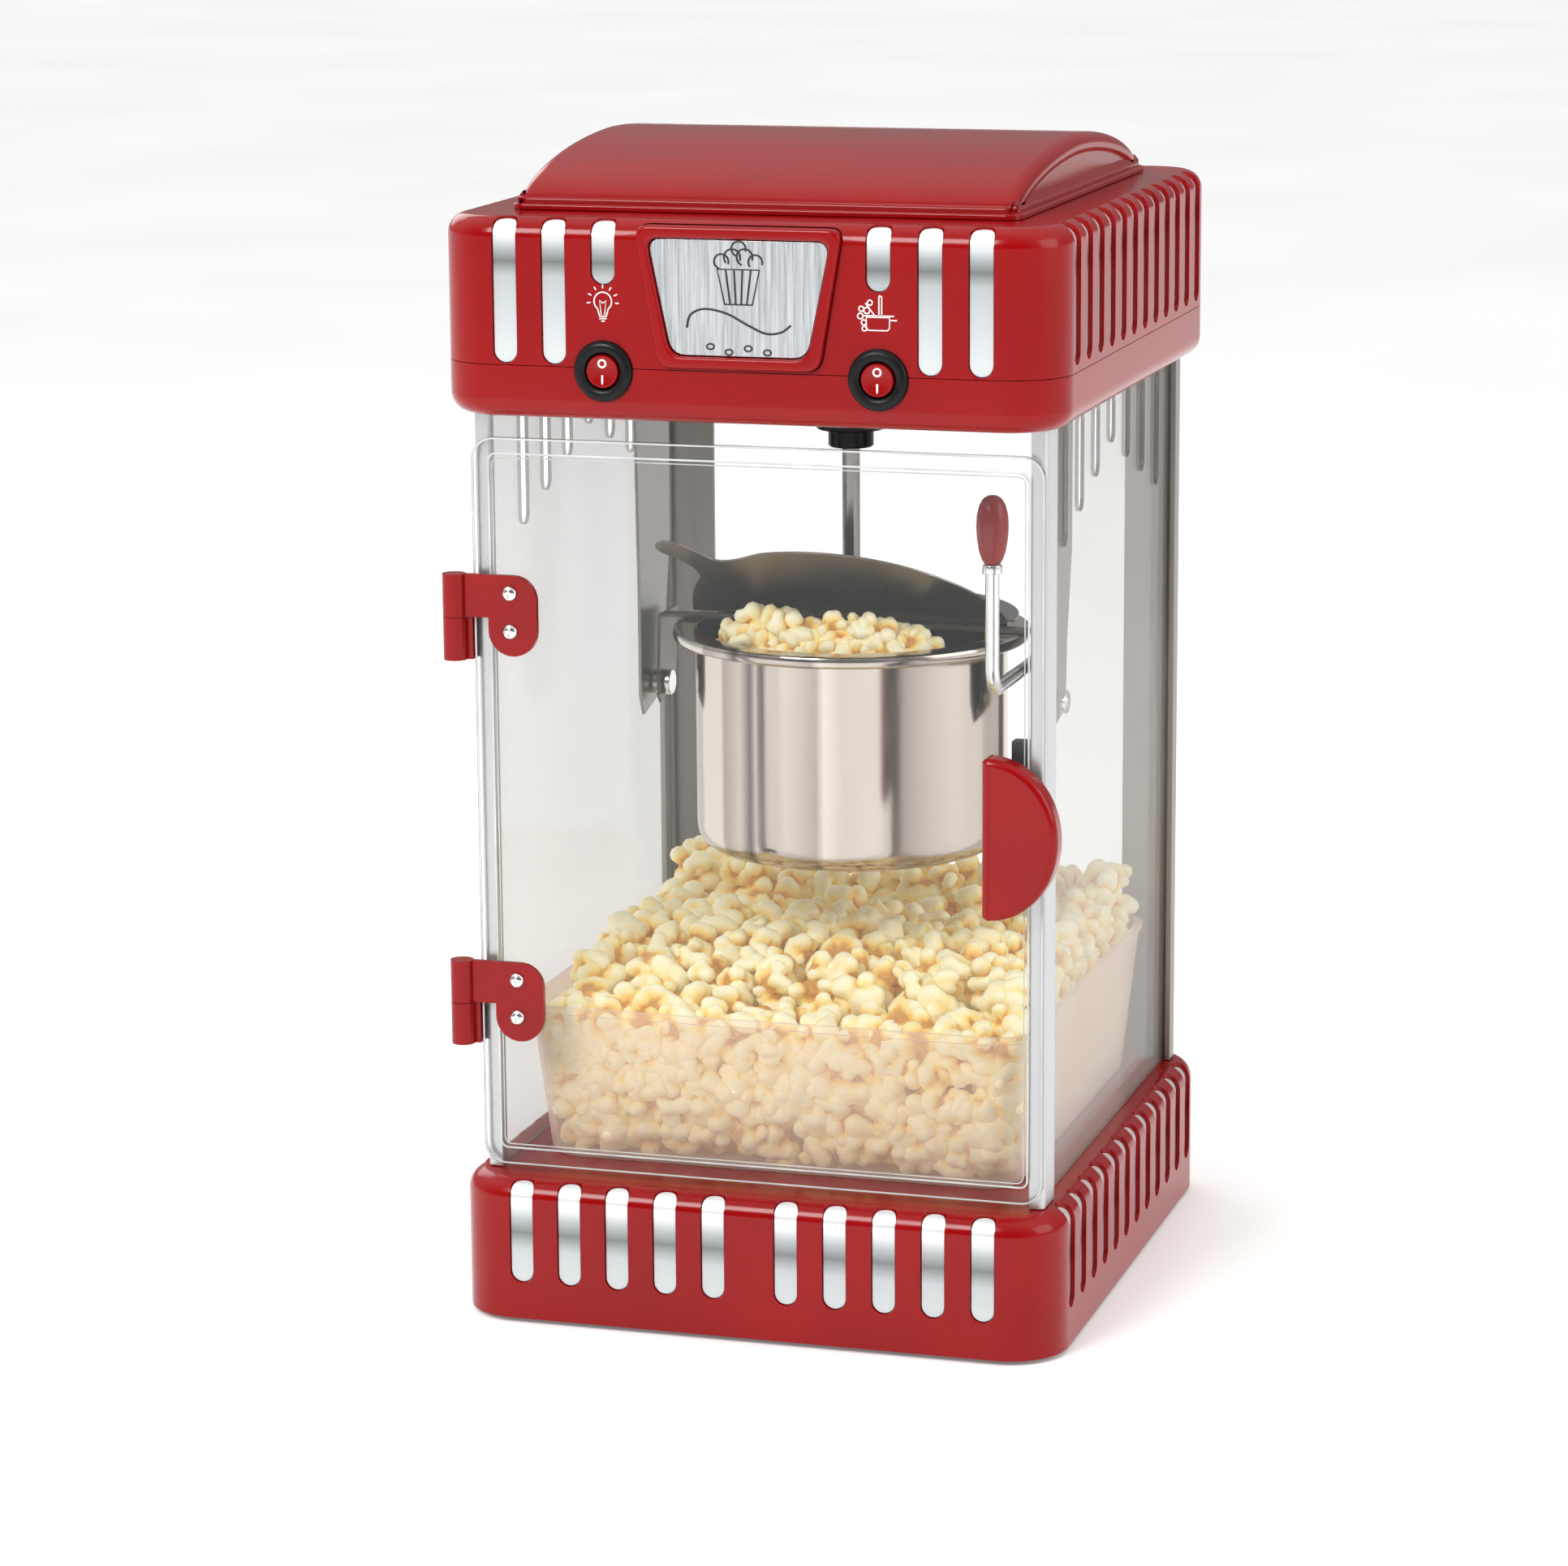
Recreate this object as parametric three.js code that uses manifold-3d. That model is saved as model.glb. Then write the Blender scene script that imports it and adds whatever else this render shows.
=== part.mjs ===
// Retro tabletop popcorn maker. Millimetres, +Z up, the front faces -Y.
import * as THREE from 'three';
import { mergeVertices } from 'three/addons/utils/BufferGeometryUtils.js';
import Module from 'manifold-3d';

const wasm = await Module();
wasm.setup();

// ---- driving dimensions (millimetres; x and y are measured from the cabinet's centre) ----
const HOOD = { w: 253.2, d: 278.2, r: 24.5, bottom: 373, split: 394, top: 452 };
const BASE = { w: 252.7, d: 276.2, r: 24.5, bottom: 2, top: 60 };
const WALL = 2.4;                       // moulded wall of the housings
const GAP = 0.3;                        // clearance between touching pieces
const EDGE = 8;                         // rounding of the housings' long edges
const LINER = 1.2;                      // silver sheet behind the slots
const SLOT = { w: 10, wrap: 7, foot: 17.3 };
const FRAME = { x: 117.5, front: -119.5, rear: 122, leg: 2.4, bottom: 60.3, top: 372.6 };
const PANE = { x: 113, t: 1.6, front: -116.8, rear: 116.4 };
const DOOR = { w: 235, bottom: 62.6, top: 362.8, r: 9, t: 3, back: -120 };
const HINGE = { x: -125, y: -125, r: 4.8, pin: 1.9, height: 35, upper: 272.8, lower: 113.5, arm: 2.4 };
const HANDLE = { x: 93.8, z: 212.6, r: 32.7, reach: 27.8, t: 9.5 };
const AXLE = { y: 16, z: 239, r: 3 };   // the axis that the kettle tips on
const POT = { r: 66, rim: 75.5, bottom: 174, lip: 262.5, top: 267.5, wall: 1.2 };
const STRAP = { z: 267.9, t: 1.3, w: 8, x: 84, low: 231 };
const SHAFT = { r: 3.85, bottom: 180, top: 343 };
const LEVER = { x: 80.5, z: 257, r: 2.9, front: -60, top: 309 };
const HANGER = { x: 88, t: 1.3, foot: 227, head: 372.4 };
const LID = { r: 69.5, t: 0.9, z: 271.2, front: 12.6, rear: 19.4, raise: 32 };
const TRAY = { w: 214, front: -107, rear: 111, bottom: 60.4, top: 126, lean: 6.5, wall: 1.6, r: 16 };
const SWITCH = { x: 55.6, z: 393, r: 12, cap: 6.6 };
const ROOF = { w: 203, d: 212, foot: 456, top: 476.2, plinth: 3.9 };
const DECK = { z: 375.6, t: 1.4 };      // sheet that closes the hood from below
const GLAND = 4.5;                      // how far the cord gland stands out behind the hood
const PROUD = 3;                        // how far the badge bezel stands out in front of the hood

const RED = { color: 0xb30a0d, roughness: 0.25, metalness: 0.1 };
const SILVER = { color: 0xb9bec0, roughness: 0.35, metalness: 0.8 };
const STEEL = { color: 0xc8c2bc, roughness: 0.18, metalness: 1 };
const DARK_STEEL = { color: 0x4a4340, roughness: 0.4, metalness: 0.9 };
const CLEAR = { color: 0xe8eef0, roughness: 0.05, metalness: 0, transparent: true, opacity: 0.3 };
const FROSTED = { color: 0xe8dccb, roughness: 0.5, metalness: 0, transparent: true, opacity: 0.6 };
const BLACK = { color: 0x131313, roughness: 0.45, metalness: 0 };

// ---- helpers ----
const kettle = new THREE.Group();
const machine = new THREE.Group();

function solid(geometry) {
  const bare = geometry.index ? geometry.toNonIndexed() : geometry.clone();
  bare.deleteAttribute('normal');
  bare.deleteAttribute('uv');
  const merged = mergeVertices(bare, 1e-4);
  return new wasm.Manifold(new wasm.Mesh({
    numProp: 3,
    vertProperties: new Float32Array(merged.attributes.position.array),
    triVerts: new Uint32Array(merged.index.array),
  }));
}

function geometryOf(manifold) {
  const mesh = manifold.getMesh();
  const geometry = new THREE.BufferGeometry();
  geometry.setAttribute('position', new THREE.BufferAttribute(mesh.vertProperties, 3));
  geometry.setIndex(new THREE.BufferAttribute(mesh.triVerts, 1));
  return geometry;
}

function piece(name, shape, look, parent = machine) {
  const geometry = shape.isBufferGeometry ? shape : geometryOf(shape);
  const mesh = new THREE.Mesh(geometry, new THREE.MeshStandardMaterial(look));
  mesh.name = name;
  parent.add(mesh);
  return mesh;
}

// a box from its lowest and highest corners
function block(x0, x1, y0, y1, z0, z1) {
  const geometry = new THREE.BoxGeometry(x1 - x0, y1 - y0, z1 - z0);
  return geometry.translate((x0 + x1) / 2, (y0 + y1) / 2, (z0 + z1) / 2);
}

// a rod between two stations of one axis ('x', 'y' or 'z')
function rod(axis, r, from, to, at, sides = 16) {
  const geometry = new THREE.CylinderGeometry(r, r, to - from, sides);
  const middle = (from + to) / 2;
  if (axis === 'x') return geometry.rotateZ(Math.PI / 2).translate(middle, at[0], at[1]);
  if (axis === 'y') return geometry.translate(at[0], middle, at[1]);
  return geometry.rotateX(Math.PI / 2).translate(at[0], at[1], middle);
}

function roundedRect(w, d, r) {
  const shape = new THREE.Shape();
  const x = w / 2;
  const y = d / 2;
  shape.moveTo(-x + r, -y).lineTo(x - r, -y).absarc(x - r, -y + r, r, -Math.PI / 2, 0);
  shape.lineTo(x, y - r).absarc(x - r, y - r, r, 0, Math.PI / 2);
  shape.lineTo(-x + r, y).absarc(-x + r, y - r, r, Math.PI / 2, Math.PI);
  shape.lineTo(-x, -y + r).absarc(-x + r, -y + r, r, Math.PI, Math.PI * 1.5);
  return shape;
}

// an upright block of rounded plan, with both long edges rounded by `edge`
function cushion(w, d, r, z0, z1, edge, curve = 4) {
  const bevel = edge > 0;
  const options = {
    depth: z1 - z0 - 2 * edge, curveSegments: curve, bevelEnabled: bevel,
    bevelThickness: edge, bevelSize: edge, bevelOffset: -edge, bevelSegments: 2,
  };
  return solid(new THREE.ExtrudeGeometry(roundedRect(w, d, r), options).translate(0, 0, z0 + edge));
}

// a plate whose outline is drawn as seen from the front (x, z), from y0 back to y1
function frontPlate(shape, y0, y1, curve = 8) {
  const options = { depth: y1 - y0, bevelEnabled: false, curveSegments: curve };
  const geometry = new THREE.ExtrudeGeometry(shape, options);
  return geometry.rotateX(Math.PI / 2).translate(0, y1, 0);
}

// a plate whose outline is drawn as seen from the right side (y, z), from x0 to x1
function sidePlate(shape, x0, x1, curve = 8) {
  const options = { depth: x1 - x0, bevelEnabled: false, curveSegments: curve };
  const geometry = new THREE.ExtrudeGeometry(shape, options);
  return geometry.rotateX(Math.PI / 2).rotateZ(Math.PI / 2).translate(x0, 0, 0);
}

// an upright slot outline, round at the foot and, where asked, at the head
function slotShape(centre, width, z0, z1, roundHead = false) {
  const shape = new THREE.Shape();
  const h = width / 2;
  shape.moveTo(centre - h, z0 + h).absarc(centre, z0 + h, h, Math.PI, 2 * Math.PI);
  if (roundHead) shape.lineTo(centre + h, z1 - h).absarc(centre, z1 - h, h, 0, Math.PI);
  else shape.lineTo(centre + h, z1).lineTo(centre - h, z1);
  return shape;
}

function outline(points) {
  const shape = new THREE.Shape();
  points.forEach(([a, b], i) => (i ? shape.lineTo(a, b) : shape.moveTo(a, b)));
  return shape;
}

// a turned piece: profile points are (radius, z) and the axis is vertical
function turned(points, sides, x = 0, y = 0) {
  const profile = points.map(([r, z]) => new THREE.Vector2(r, z));
  return new THREE.LatheGeometry(profile, sides).rotateX(Math.PI / 2).translate(x, y, 0);
}

const join = (shapes) => shapes.map((s) => (s.isBufferGeometry ? solid(s) : s)).reduce((a, b) => a.add(b));
const cut = (shape, ...tools) => tools.map((t) => (t.isBufferGeometry ? solid(t) : t))
  .reduce((a, b) => a.subtract(b), shape.isBufferGeometry ? solid(shape) : shape);

// ---- slot patterns ----
const BASE_FRONT = [-4.75, -3.75, -2.75, -1.75, -0.75, 0.75, 1.75, 2.75, 3.75, 4.75].map((k) => k * 20.4);
const HOOD_LONG = [-96.2, -76, 76, 96.2];
const HOOD_SHORT = [-55.5, 55.5];
const SIDE = Array.from({ length: 12 }, (_, i) => (i - 5.5) * 19.7);

// cutters through the front and both side walls; they reach `wrap` in over the rounded top edge
function slotCutters(body, front, side) {
  const tools = [];
  const y = -body.d / 2;
  for (const s of front) {
    tools.push(frontPlate(slotShape(s.x, SLOT.w, s.z, body.top + 5), y - 2, y + SLOT.wrap, 2));
  }
  for (const s of side) {
    const x = body.w / 2;
    tools.push(sidePlate(slotShape(s.y, SLOT.w, s.z, body.top + 5), x - SLOT.wrap, x + 2, 2));
    tools.push(sidePlate(slotShape(s.y, SLOT.w, s.z, body.top + 5), -x - 2, -x + SLOT.wrap, 2));
  }
  return join(tools);
}

// ---- base ----
function buildBase() {
  const inner = BASE.w - 2 * WALL;
  const innerD = BASE.d - 2 * WALL;
  const top = BASE.top - WALL;
  const outside = cushion(BASE.w, BASE.d, BASE.r, BASE.bottom - EDGE, BASE.top, EDGE);
  const inside = cushion(inner, innerD, BASE.r - WALL, BASE.bottom - 12, top, EDGE - WALL);
  const front = BASE_FRONT.map((x) => ({ x, z: SLOT.foot }));
  const side = SIDE.map((y) => ({ y, z: SLOT.foot }));
  const below = block(-200, 200, -200, 200, -40, BASE.bottom);
  piece('base_housing', cut(outside, inside, below, slotCutters(BASE, front, side)), RED);

  const sheet = cushion(inner - 2 * GAP, innerD - 2 * GAP, BASE.r - WALL - GAP, -20, top - GAP, EDGE - WALL);
  const hollow = cushion(inner - 2 * GAP - 2 * LINER, innerD - 2 * GAP - 2 * LINER,
    BASE.r - WALL - GAP - LINER, -30, top - GAP - LINER, EDGE - WALL - LINER);
  piece('base_liner', cut(sheet, hollow, block(-200, 200, -200, 200, -60, 8)), SILVER);

  const plate = cushion(inner - 2 * GAP, innerD - 2 * GAP, BASE.r - WALL - GAP, 3, 5, 0);
  const feet = [[-1, -1, 'front_left'], [1, -1, 'front_right'], [-1, 1, 'rear_left'], [1, 1, 'rear_right']];
  const at = (sx, sy) => [sx * 96, sy * 108];
  piece('bottom_plate', cut(plate, ...feet.map(([sx, sy]) => rod('z', 3.3, 0, 8, at(sx, sy), 10))), BLACK);
  for (const [sx, sy, name] of feet) {
    const [x, y] = at(sx, sy);
    const profile = [[0, 0], [8, 0], [9, 1.2], [9, 2.7], [3, 2.7], [3, 7], [0, 7]];
    piece(`foot_${name}`, turned(profile, 12, x, y), BLACK);
  }
}

// ---- glass box ----
function buildFrame() {
  const { x, front, rear, leg, bottom, top } = FRAME;
  const corners = [
    { name: 'front_left', sx: -1, y: front, sy: 1, across: 6.4, along: 17 },
    { name: 'front_right', sx: 1, y: front, sy: 1, across: 6.4, along: 17 },
    { name: 'rear_left', sx: -1, y: rear, sy: -1, across: 24, along: 10 },
    { name: 'rear_right', sx: 1, y: rear, sy: -1, across: 24, along: 10 },
  ];
  for (const c of corners) {
    const span = (a, b) => [Math.min(a, b), Math.max(a, b)];
    const [ax0, ax1] = span(c.sx * x, c.sx * (x - c.across));
    const [ay0, ay1] = span(c.y, c.y + c.sy * leg);
    const [bx0, bx1] = span(c.sx * x, c.sx * (x - leg));
    const [by0, by1] = span(c.y, c.y + c.sy * c.along);
    const legs = [block(ax0, ax1, ay0, ay1, bottom, top), block(bx0, bx1, by0, by1, bottom, top)];
    const r = 2.2;
    const notch = solid(block(c.sx * x - r, c.sx * x + r, c.y - r, c.y + r, bottom - 1, top + 1));
    const round = rod('z', r, bottom - 1, top + 1, [c.sx * (x - r), c.y + c.sy * r], 12);
    const keep = join([cut(join(legs), notch), join(legs).intersect(solid(round))]);
    piece(`post_${c.name}`, keep, SILVER);
  }
  const vents = Array.from({ length: 7 }, (_, i) => i - 3)
    .map((k) => slotShape(8 + k * 27.5, 9.5, 350 - 10 * Math.abs(k), 371, true));
  const wallShape = outline([[PANE.front, bottom], [PANE.rear, bottom], [PANE.rear, top], [PANE.front, top]]);
  wallShape.holes.push(...vents);
  for (const [name, sx] of [['left', -1], ['right', 1]]) {
    const x0 = sx * PANE.x - PANE.t / 2;
    piece(`window_${name}`, sidePlate(wallShape, x0, x0 + PANE.t, 3), CLEAR);
  }
  piece('window_rear', block(-114.6, 114.6, 117.2, 118.8, bottom, top), CLEAR);
}

// ---- hood ----
function buildHood() {
  const inner = HOOD.w - 2 * WALL;
  const innerD = HOOD.d - 2 * WALL;
  const whole = cushion(HOOD.w, HOOD.d, HOOD.r, HOOD.bottom, HOOD.top, EDGE);
  const hollow = cushion(inner, innerD, HOOD.r - WALL, HOOD.bottom + WALL, HOOD.top - WALL, EDGE - WALL);
  const above = block(-200, 200, -200, 200, HOOD.split, 600);
  const under = block(-200, 200, -200, 200, 300, HOOD.split + GAP);
  const switchHoles = [-1, 1].map((s) => rod('y', SWITCH.r - 1.6, -160, -120, [s * SWITCH.x, SWITCH.z], 20));
  const opening = cushion(226, 252, 12, HOOD.bottom - 5, HOOD.bottom + 5, 0);
  const glandHole = rod('y', 4.3, 120, 160, [-70, 384], 16);
  piece('hood_lower_rim', cut(whole, hollow, above, opening, glandHole, ...switchHoles), RED);

  const front = HOOD_LONG.map((x) => ({ x, z: 394.8 })).concat(HOOD_SHORT.map((x) => ({ x, z: 426.5 })));
  const side = SIDE.map((y) => ({ y, z: 397 }));
  const outerBadge = badgeShape(0.3);
  const badgeHole = frontPlate(outerBadge, -145, -130);
  const roofBolts = [-1, 1].map((s) => rod('z', 2.3, 440, 470, [s * 80, 0], 12));
  const upper = cut(whole, hollow, under, slotCutters(HOOD, front, side), badgeHole,
    ...switchHoles, ...roofBolts);
  piece('hood_upper_housing', upper, RED);

  const sheet = cushion(inner - 2 * GAP, innerD - 2 * GAP, HOOD.r - WALL - GAP, 380,
    HOOD.top - WALL - GAP, EDGE - WALL);
  const room = cushion(inner - 2 * GAP - 2 * LINER, innerD - 2 * GAP - 2 * LINER,
    HOOD.r - WALL - GAP - LINER, 370, HOOD.top - WALL - GAP - LINER, EDGE - WALL - LINER);
  const low = block(-200, 200, -200, 200, 300, HOOD.split + 1);
  const clearSwitch = block(-69, 69, -160, -100, 300, 424);
  const clearBadge = block(-46, 46, -160, -100, 300, 460);
  piece('hood_liner', cut(sheet, room, low, clearSwitch, clearBadge, ...roofBolts), SILVER);

  const deck = cushion(inner - 2 * GAP, innerD - 2 * GAP, HOOD.r - WALL - GAP, DECK.z, DECK.z + DECK.t, 0);
  const shaftHole = rod('z', 7, 370, 380, [0, AXLE.y], 24);
  const lampHole = block(-72, -28, -58, -22, 370, 380);
  const edges = cushion(inner - 12, innerD - 12, HOOD.r - 8, DECK.z - 1, DECK.z + 3, 0);
  piece('ceiling_plate', cut(deck.intersect(edges), shaftHole, lampHole), STEEL);

  const arch = new THREE.Shape();
  const half = ROOF.d / 2;
  const power = 1.75;
  const rise = (y) => ROOF.foot + (ROOF.top - ROOF.foot) * (1 - Math.abs(y / half) ** power) ** (1 / power);
  arch.moveTo(-half, ROOF.foot - 1);
  const steps = 20;
  for (let i = 0; i <= steps; i += 1) {
    const y = -half * Math.cos((Math.PI * i) / steps);
    arch.lineTo(y, rise(Math.max(-half, Math.min(half, y))));
  }
  arch.lineTo(half, ROOF.foot - 1);
  const barrel = sidePlate(arch, -ROOF.w / 2, ROOF.w / 2);
  const plinth = cushion(ROOF.w + 5, ROOF.d + 8, 6, HOOD.top + GAP, HOOD.top + GAP + ROOF.plinth, 0, 3);
  const studs = [-1, 1].map((s) => rod('z', 2, HOOD.top - 6, HOOD.top + 1, [s * 80, 0], 12));
  piece('roof', join([barrel, plinth, ...studs]), RED);

  piece('cord_gland', cut(join([
    rod('y', 4, 132, 142, [-70, 384], 16),
    rod('y', 7.5, HOOD.d / 2 + GAP, HOOD.d / 2 + GLAND, [-70, 384], 20),
  ]), rod('y', 2.2, 120, 160, [-70, 384], 12)), BLACK);
}

// ---- badge and switches ----
function badgeShape(grow) {
  const { top, low } = { top: 42 + grow, low: 32.5 + grow };
  const [z0, z1, r] = [395.2 - grow, 450.4 + grow, 5];
  const shape = new THREE.Shape();
  const lean = (top - low) / (z1 - z0);
  shape.moveTo(-low + r, z0).lineTo(low - r, z0);
  shape.quadraticCurveTo(low, z0, low + lean * r, z0 + r);
  shape.lineTo(top - lean * r, z1 - r).quadraticCurveTo(top, z1, top - r, z1);
  shape.lineTo(-top + r, z1).quadraticCurveTo(-top, z1, -top + lean * r, z1 - r);
  shape.lineTo(-low - lean * r, z0 + r).quadraticCurveTo(-low, z0, -low + r, z0);
  return shape;
}

function buildFront() {
  const face = -HOOD.d / 2;
  const recess = frontPlate(badgeShape(-4.6), face - 4, face + 2, 4);
  const bezel = cut(frontPlate(badgeShape(0), face - PROUD, face + 4, 4), recess);
  piece('badge_bezel', bezel, RED);
  piece('badge_plate', frontPlate(badgeShape(-5), face - 1, face + 1.7, 4), STEEL);
  for (const [name, s] of [['left', -1], ['right', 1]]) {
    const at = [s * SWITCH.x, SWITCH.z];
    const flange = rod('y', SWITCH.r, face - 2.6, face - GAP, at, 20);
    const ring = join([flange, rod('y', SWITCH.r - 2, face - 1, face + 16, at, 20)]);
    piece(`switch_bezel_${name}`, cut(ring, rod('y', SWITCH.cap + 0.5, face - 5, face + 12, at, 20)), BLACK);
    const cap = rod('y', SWITCH.cap, face - 2.2, face + 4, at, 20);
    piece(`switch_rocker_${name}`, cap, RED);
  }
}

// ---- machinery in the hood and the hangers ----
function buildDrive() {
  const floor = DECK.z + DECK.t + GAP;
  piece('motor_gearbox', cut(block(-26, 26, AXLE.y - 22, AXLE.y + 22, floor, floor + 20),
    rod('z', 4, 370, floor + 12, [0, AXLE.y], 16)), DARK_STEEL);
  piece('motor', turned([[0, floor + 20.3], [22, floor + 20.3], [22, floor + 50], [20, floor + 52],
    [0, floor + 52]], 16, 0, AXLE.y), STEEL);
  const foot = SHAFT.top + 0.5;
  const coupler = [[0, foot], [9.5, foot], [9.5, 366], [3.6, 366], [3.6, floor + 10], [0, floor + 10]];
  piece('drive_coupler', turned(coupler, 16, 0, AXLE.y), BLACK);
  const skirt = [[10.2, 351], [14.5, 351], [14.5, 370.6], [20, 370.6], [20, 375.2], [10.2, 375.2],
    [10.2, 351]];
  piece('coupler_skirt', turned(skirt, 16, 0, AXLE.y), BLACK);
  piece('lamp_socket', turned([[0, 402], [9, 402], [10, 404], [10, 420], [0, 420]], 12, -50, -40), BLACK);
  const bulb = [[0, 377], [6, 379], [8.6, 385], [7.4, 391], [5, 396], [5, 401.6], [0, 401.6]];
  piece('lamp_bulb', turned(bulb, 12, -50, -40), CLEAR);
  for (const [name, s] of [['left', -1], ['right', 1]]) {
    const shape = outline([[-4, HANGER.head], [-1, 280], [-1, HANGER.foot + 9], [3, HANGER.foot],
      [30, HANGER.foot + 7], [32, 262], [40, 300], [40, HANGER.head]]);
    const x0 = s > 0 ? HANGER.x : -HANGER.x - HANGER.t;
    const plate = sidePlate(shape, x0, x0 + HANGER.t);
    const foot = block(s > 0 ? HANGER.x : -HANGER.x - 12, s > 0 ? HANGER.x + 12 : -HANGER.x,
      -4, 40, HANGER.head - HANGER.t, HANGER.head + 2.8);
    const bore = rod('x', AXLE.r + 0.4, x0 - 5, x0 + 8, [AXLE.y, AXLE.z], 14);
    piece(`hanger_${name}`, cut(join([plate, foot]), bore), STEEL);
  }
}

// ---- kettle ----
function buildKettle() {
  const { r, rim, bottom, lip, top, wall } = POT;
  const y = AXLE.y;
  const profile = [[0, bottom], [r - 9, bottom], [r - 2.6, bottom + 2.6], [r, bottom + 9], [r, lip],
    [rim - 1, lip], [rim, lip + 1.4], [rim, top - 1.4], [rim - 1.4, top], [r - 1, top], [r - wall, top - 1.6],
    [r - wall, bottom + 9], [r - 3.6, bottom + 3.6], [r - 9.4, bottom + wall], [0, bottom + wall]];
  piece('kettle_pot', turned(profile, 36, 0, y), STEEL, kettle);
  const heater = [[0, bottom + 1.5], [52, bottom + 1.5], [52, bottom + 5], [0, bottom + 5]];
  piece('kettle_heater', turned(heater, 20, 0, y), DARK_STEEL, kettle);

  const { z, t, w, x, low } = STRAP;
  const bridge = block(-x, x, y - w / 2, y + w / 2, z, z + t);
  const legs = [-1, 1].map((s) => {
    const shape = outline([[y - 6, z + t], [y - 9, low + 4], [y - 6, low], [y + 14, low + 8], [y + 17, z + t]]);
    return sidePlate(shape, s > 0 ? x - t : -x, s > 0 ? x : -x + t);
  });
  const bores = rod('x', AXLE.r + 0.1, -x - 5, x + 5, [AXLE.y, AXLE.z], 14);
  const bosses = rod('z', 8, z, z + t, [0, y], 16);
  const shaftHole = rod('z', SHAFT.r + 0.5, z - 2, z + 4, [0, y], 14);
  const strap = cut(join([bridge, bosses, ...legs]), bores, shaftHole);
  piece('kettle_bridge', strap, DARK_STEEL, kettle);
  for (const [name, s] of [['left', -1], ['right', 1]]) {
    const span = (a, b) => (s > 0 ? [a, b] : [-b, -a]);
    const part = (radius, a, b) => rod('x', radius, ...span(a, b), [AXLE.y, AXLE.z], 14);
    const hollow = part(AXLE.r - 0.8, 0, x - t - 2);
    piece(`pivot_pin_${name}`, cut(join([part(AXLE.r, x - t - 1, 94), part(5.4, x + GAP, 87.4),
      part(5, 90, 94), part(5.5, x - t - 3, x - t - GAP)]), hollow), STEEL, kettle);
  }

  const bend = 8;
  const path = new THREE.CurvePath();
  const v = (py, pz) => new THREE.Vector3(LEVER.x, py, pz);
  path.add(new THREE.LineCurve3(v(y - 4, LEVER.z), v(LEVER.front + bend, LEVER.z)));
  path.add(new THREE.QuadraticBezierCurve3(v(LEVER.front + bend, LEVER.z), v(LEVER.front, LEVER.z),
    v(LEVER.front, LEVER.z + bend)));
  path.add(new THREE.LineCurve3(v(LEVER.front, LEVER.z + bend), v(LEVER.front, LEVER.top)));
  const section = new THREE.Shape().absarc(0, 0, LEVER.r, 0, 2 * Math.PI);
  const along = { steps: 14, curveSegments: 5, extrudePath: path, bevelEnabled: false };
  const bar = new THREE.ExtrudeGeometry(section, along);
  piece('lever_rod', cut(bar, block(LEVER.x + 1.9, LEVER.x + 9, y - 16, y, 240, 270)), STEEL, kettle);
  const knob = [[0, LEVER.top + GAP], [2.4, LEVER.top + GAP], [4.2, LEVER.top + 1.4], [6.1, LEVER.top + 9],
    [6.6, LEVER.top + 17], [5.6, LEVER.top + 24], [3.2, LEVER.top + 27.4], [0, LEVER.top + 28.2]];
  piece('lever_knob', turned(knob, 14, LEVER.x, LEVER.front), RED, kettle);

  const stir = rod('z', SHAFT.r, SHAFT.bottom, SHAFT.top, [0, y], 12);
  const paddle = [block(-54, 54, y - 2, y + 2, 181, 184), block(40, 50, y - 2, y + 2, 181, 196),
    block(-50, -40, y - 2, y + 2, 181, 190)];
  piece('stirring_shaft', join([stir, ...paddle]), STEEL, kettle);
}

// ---- lid flaps, drawn flat with the hinge line as their local x axis ----
function buildLid() {
  const { r, t, z, front, rear, raise } = LID;
  const rear0 = new THREE.Shape();
  rear0.moveTo(r, 0).absarc(0, 0, r, 0, Math.PI);
  rear0.lineTo(-9.5, 0).lineTo(-9.5, 5.5).lineTo(9.5, 5.5).lineTo(9.5, 0);
  const options = { depth: t, bevelEnabled: false, curveSegments: 20 };
  const rearPlate = new THREE.ExtrudeGeometry(rear0, options);
  const rearFlap = piece('lid_flap_rear', rearPlate, DARK_STEEL, kettle);
  rearFlap.position.set(0, rear, z);

  const wavy = new THREE.Shape();
  wavy.moveTo(66, 0).absarc(0, 0, r, -0.04, -1.9, true);
  wavy.bezierCurveTo(-31, -61, -37, -55, -44, -57);
  wavy.bezierCurveTo(-48, -60, -54, -78, -62, -75);
  wavy.bezierCurveTo(-70, -70, -66, -62, -60, -58);
  wavy.bezierCurveTo(-55, -48, -53, -42, -57, -35);
  wavy.bezierCurveTo(-62, -26, -66, -14, -69, 0);
  wavy.lineTo(-9.5, 0).lineTo(-9.5, -5.5).lineTo(9.5, -5.5).lineTo(9.5, 0);
  const frontPlateGeometry = new THREE.ExtrudeGeometry(wavy, { ...options, curveSegments: 9 });
  const frontFlap = piece('lid_flap_front', frontPlateGeometry, DARK_STEEL, kettle);
  frontFlap.position.set(0, front, z);
  frontFlap.rotation.x = -THREE.MathUtils.degToRad(raise);
}

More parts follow.
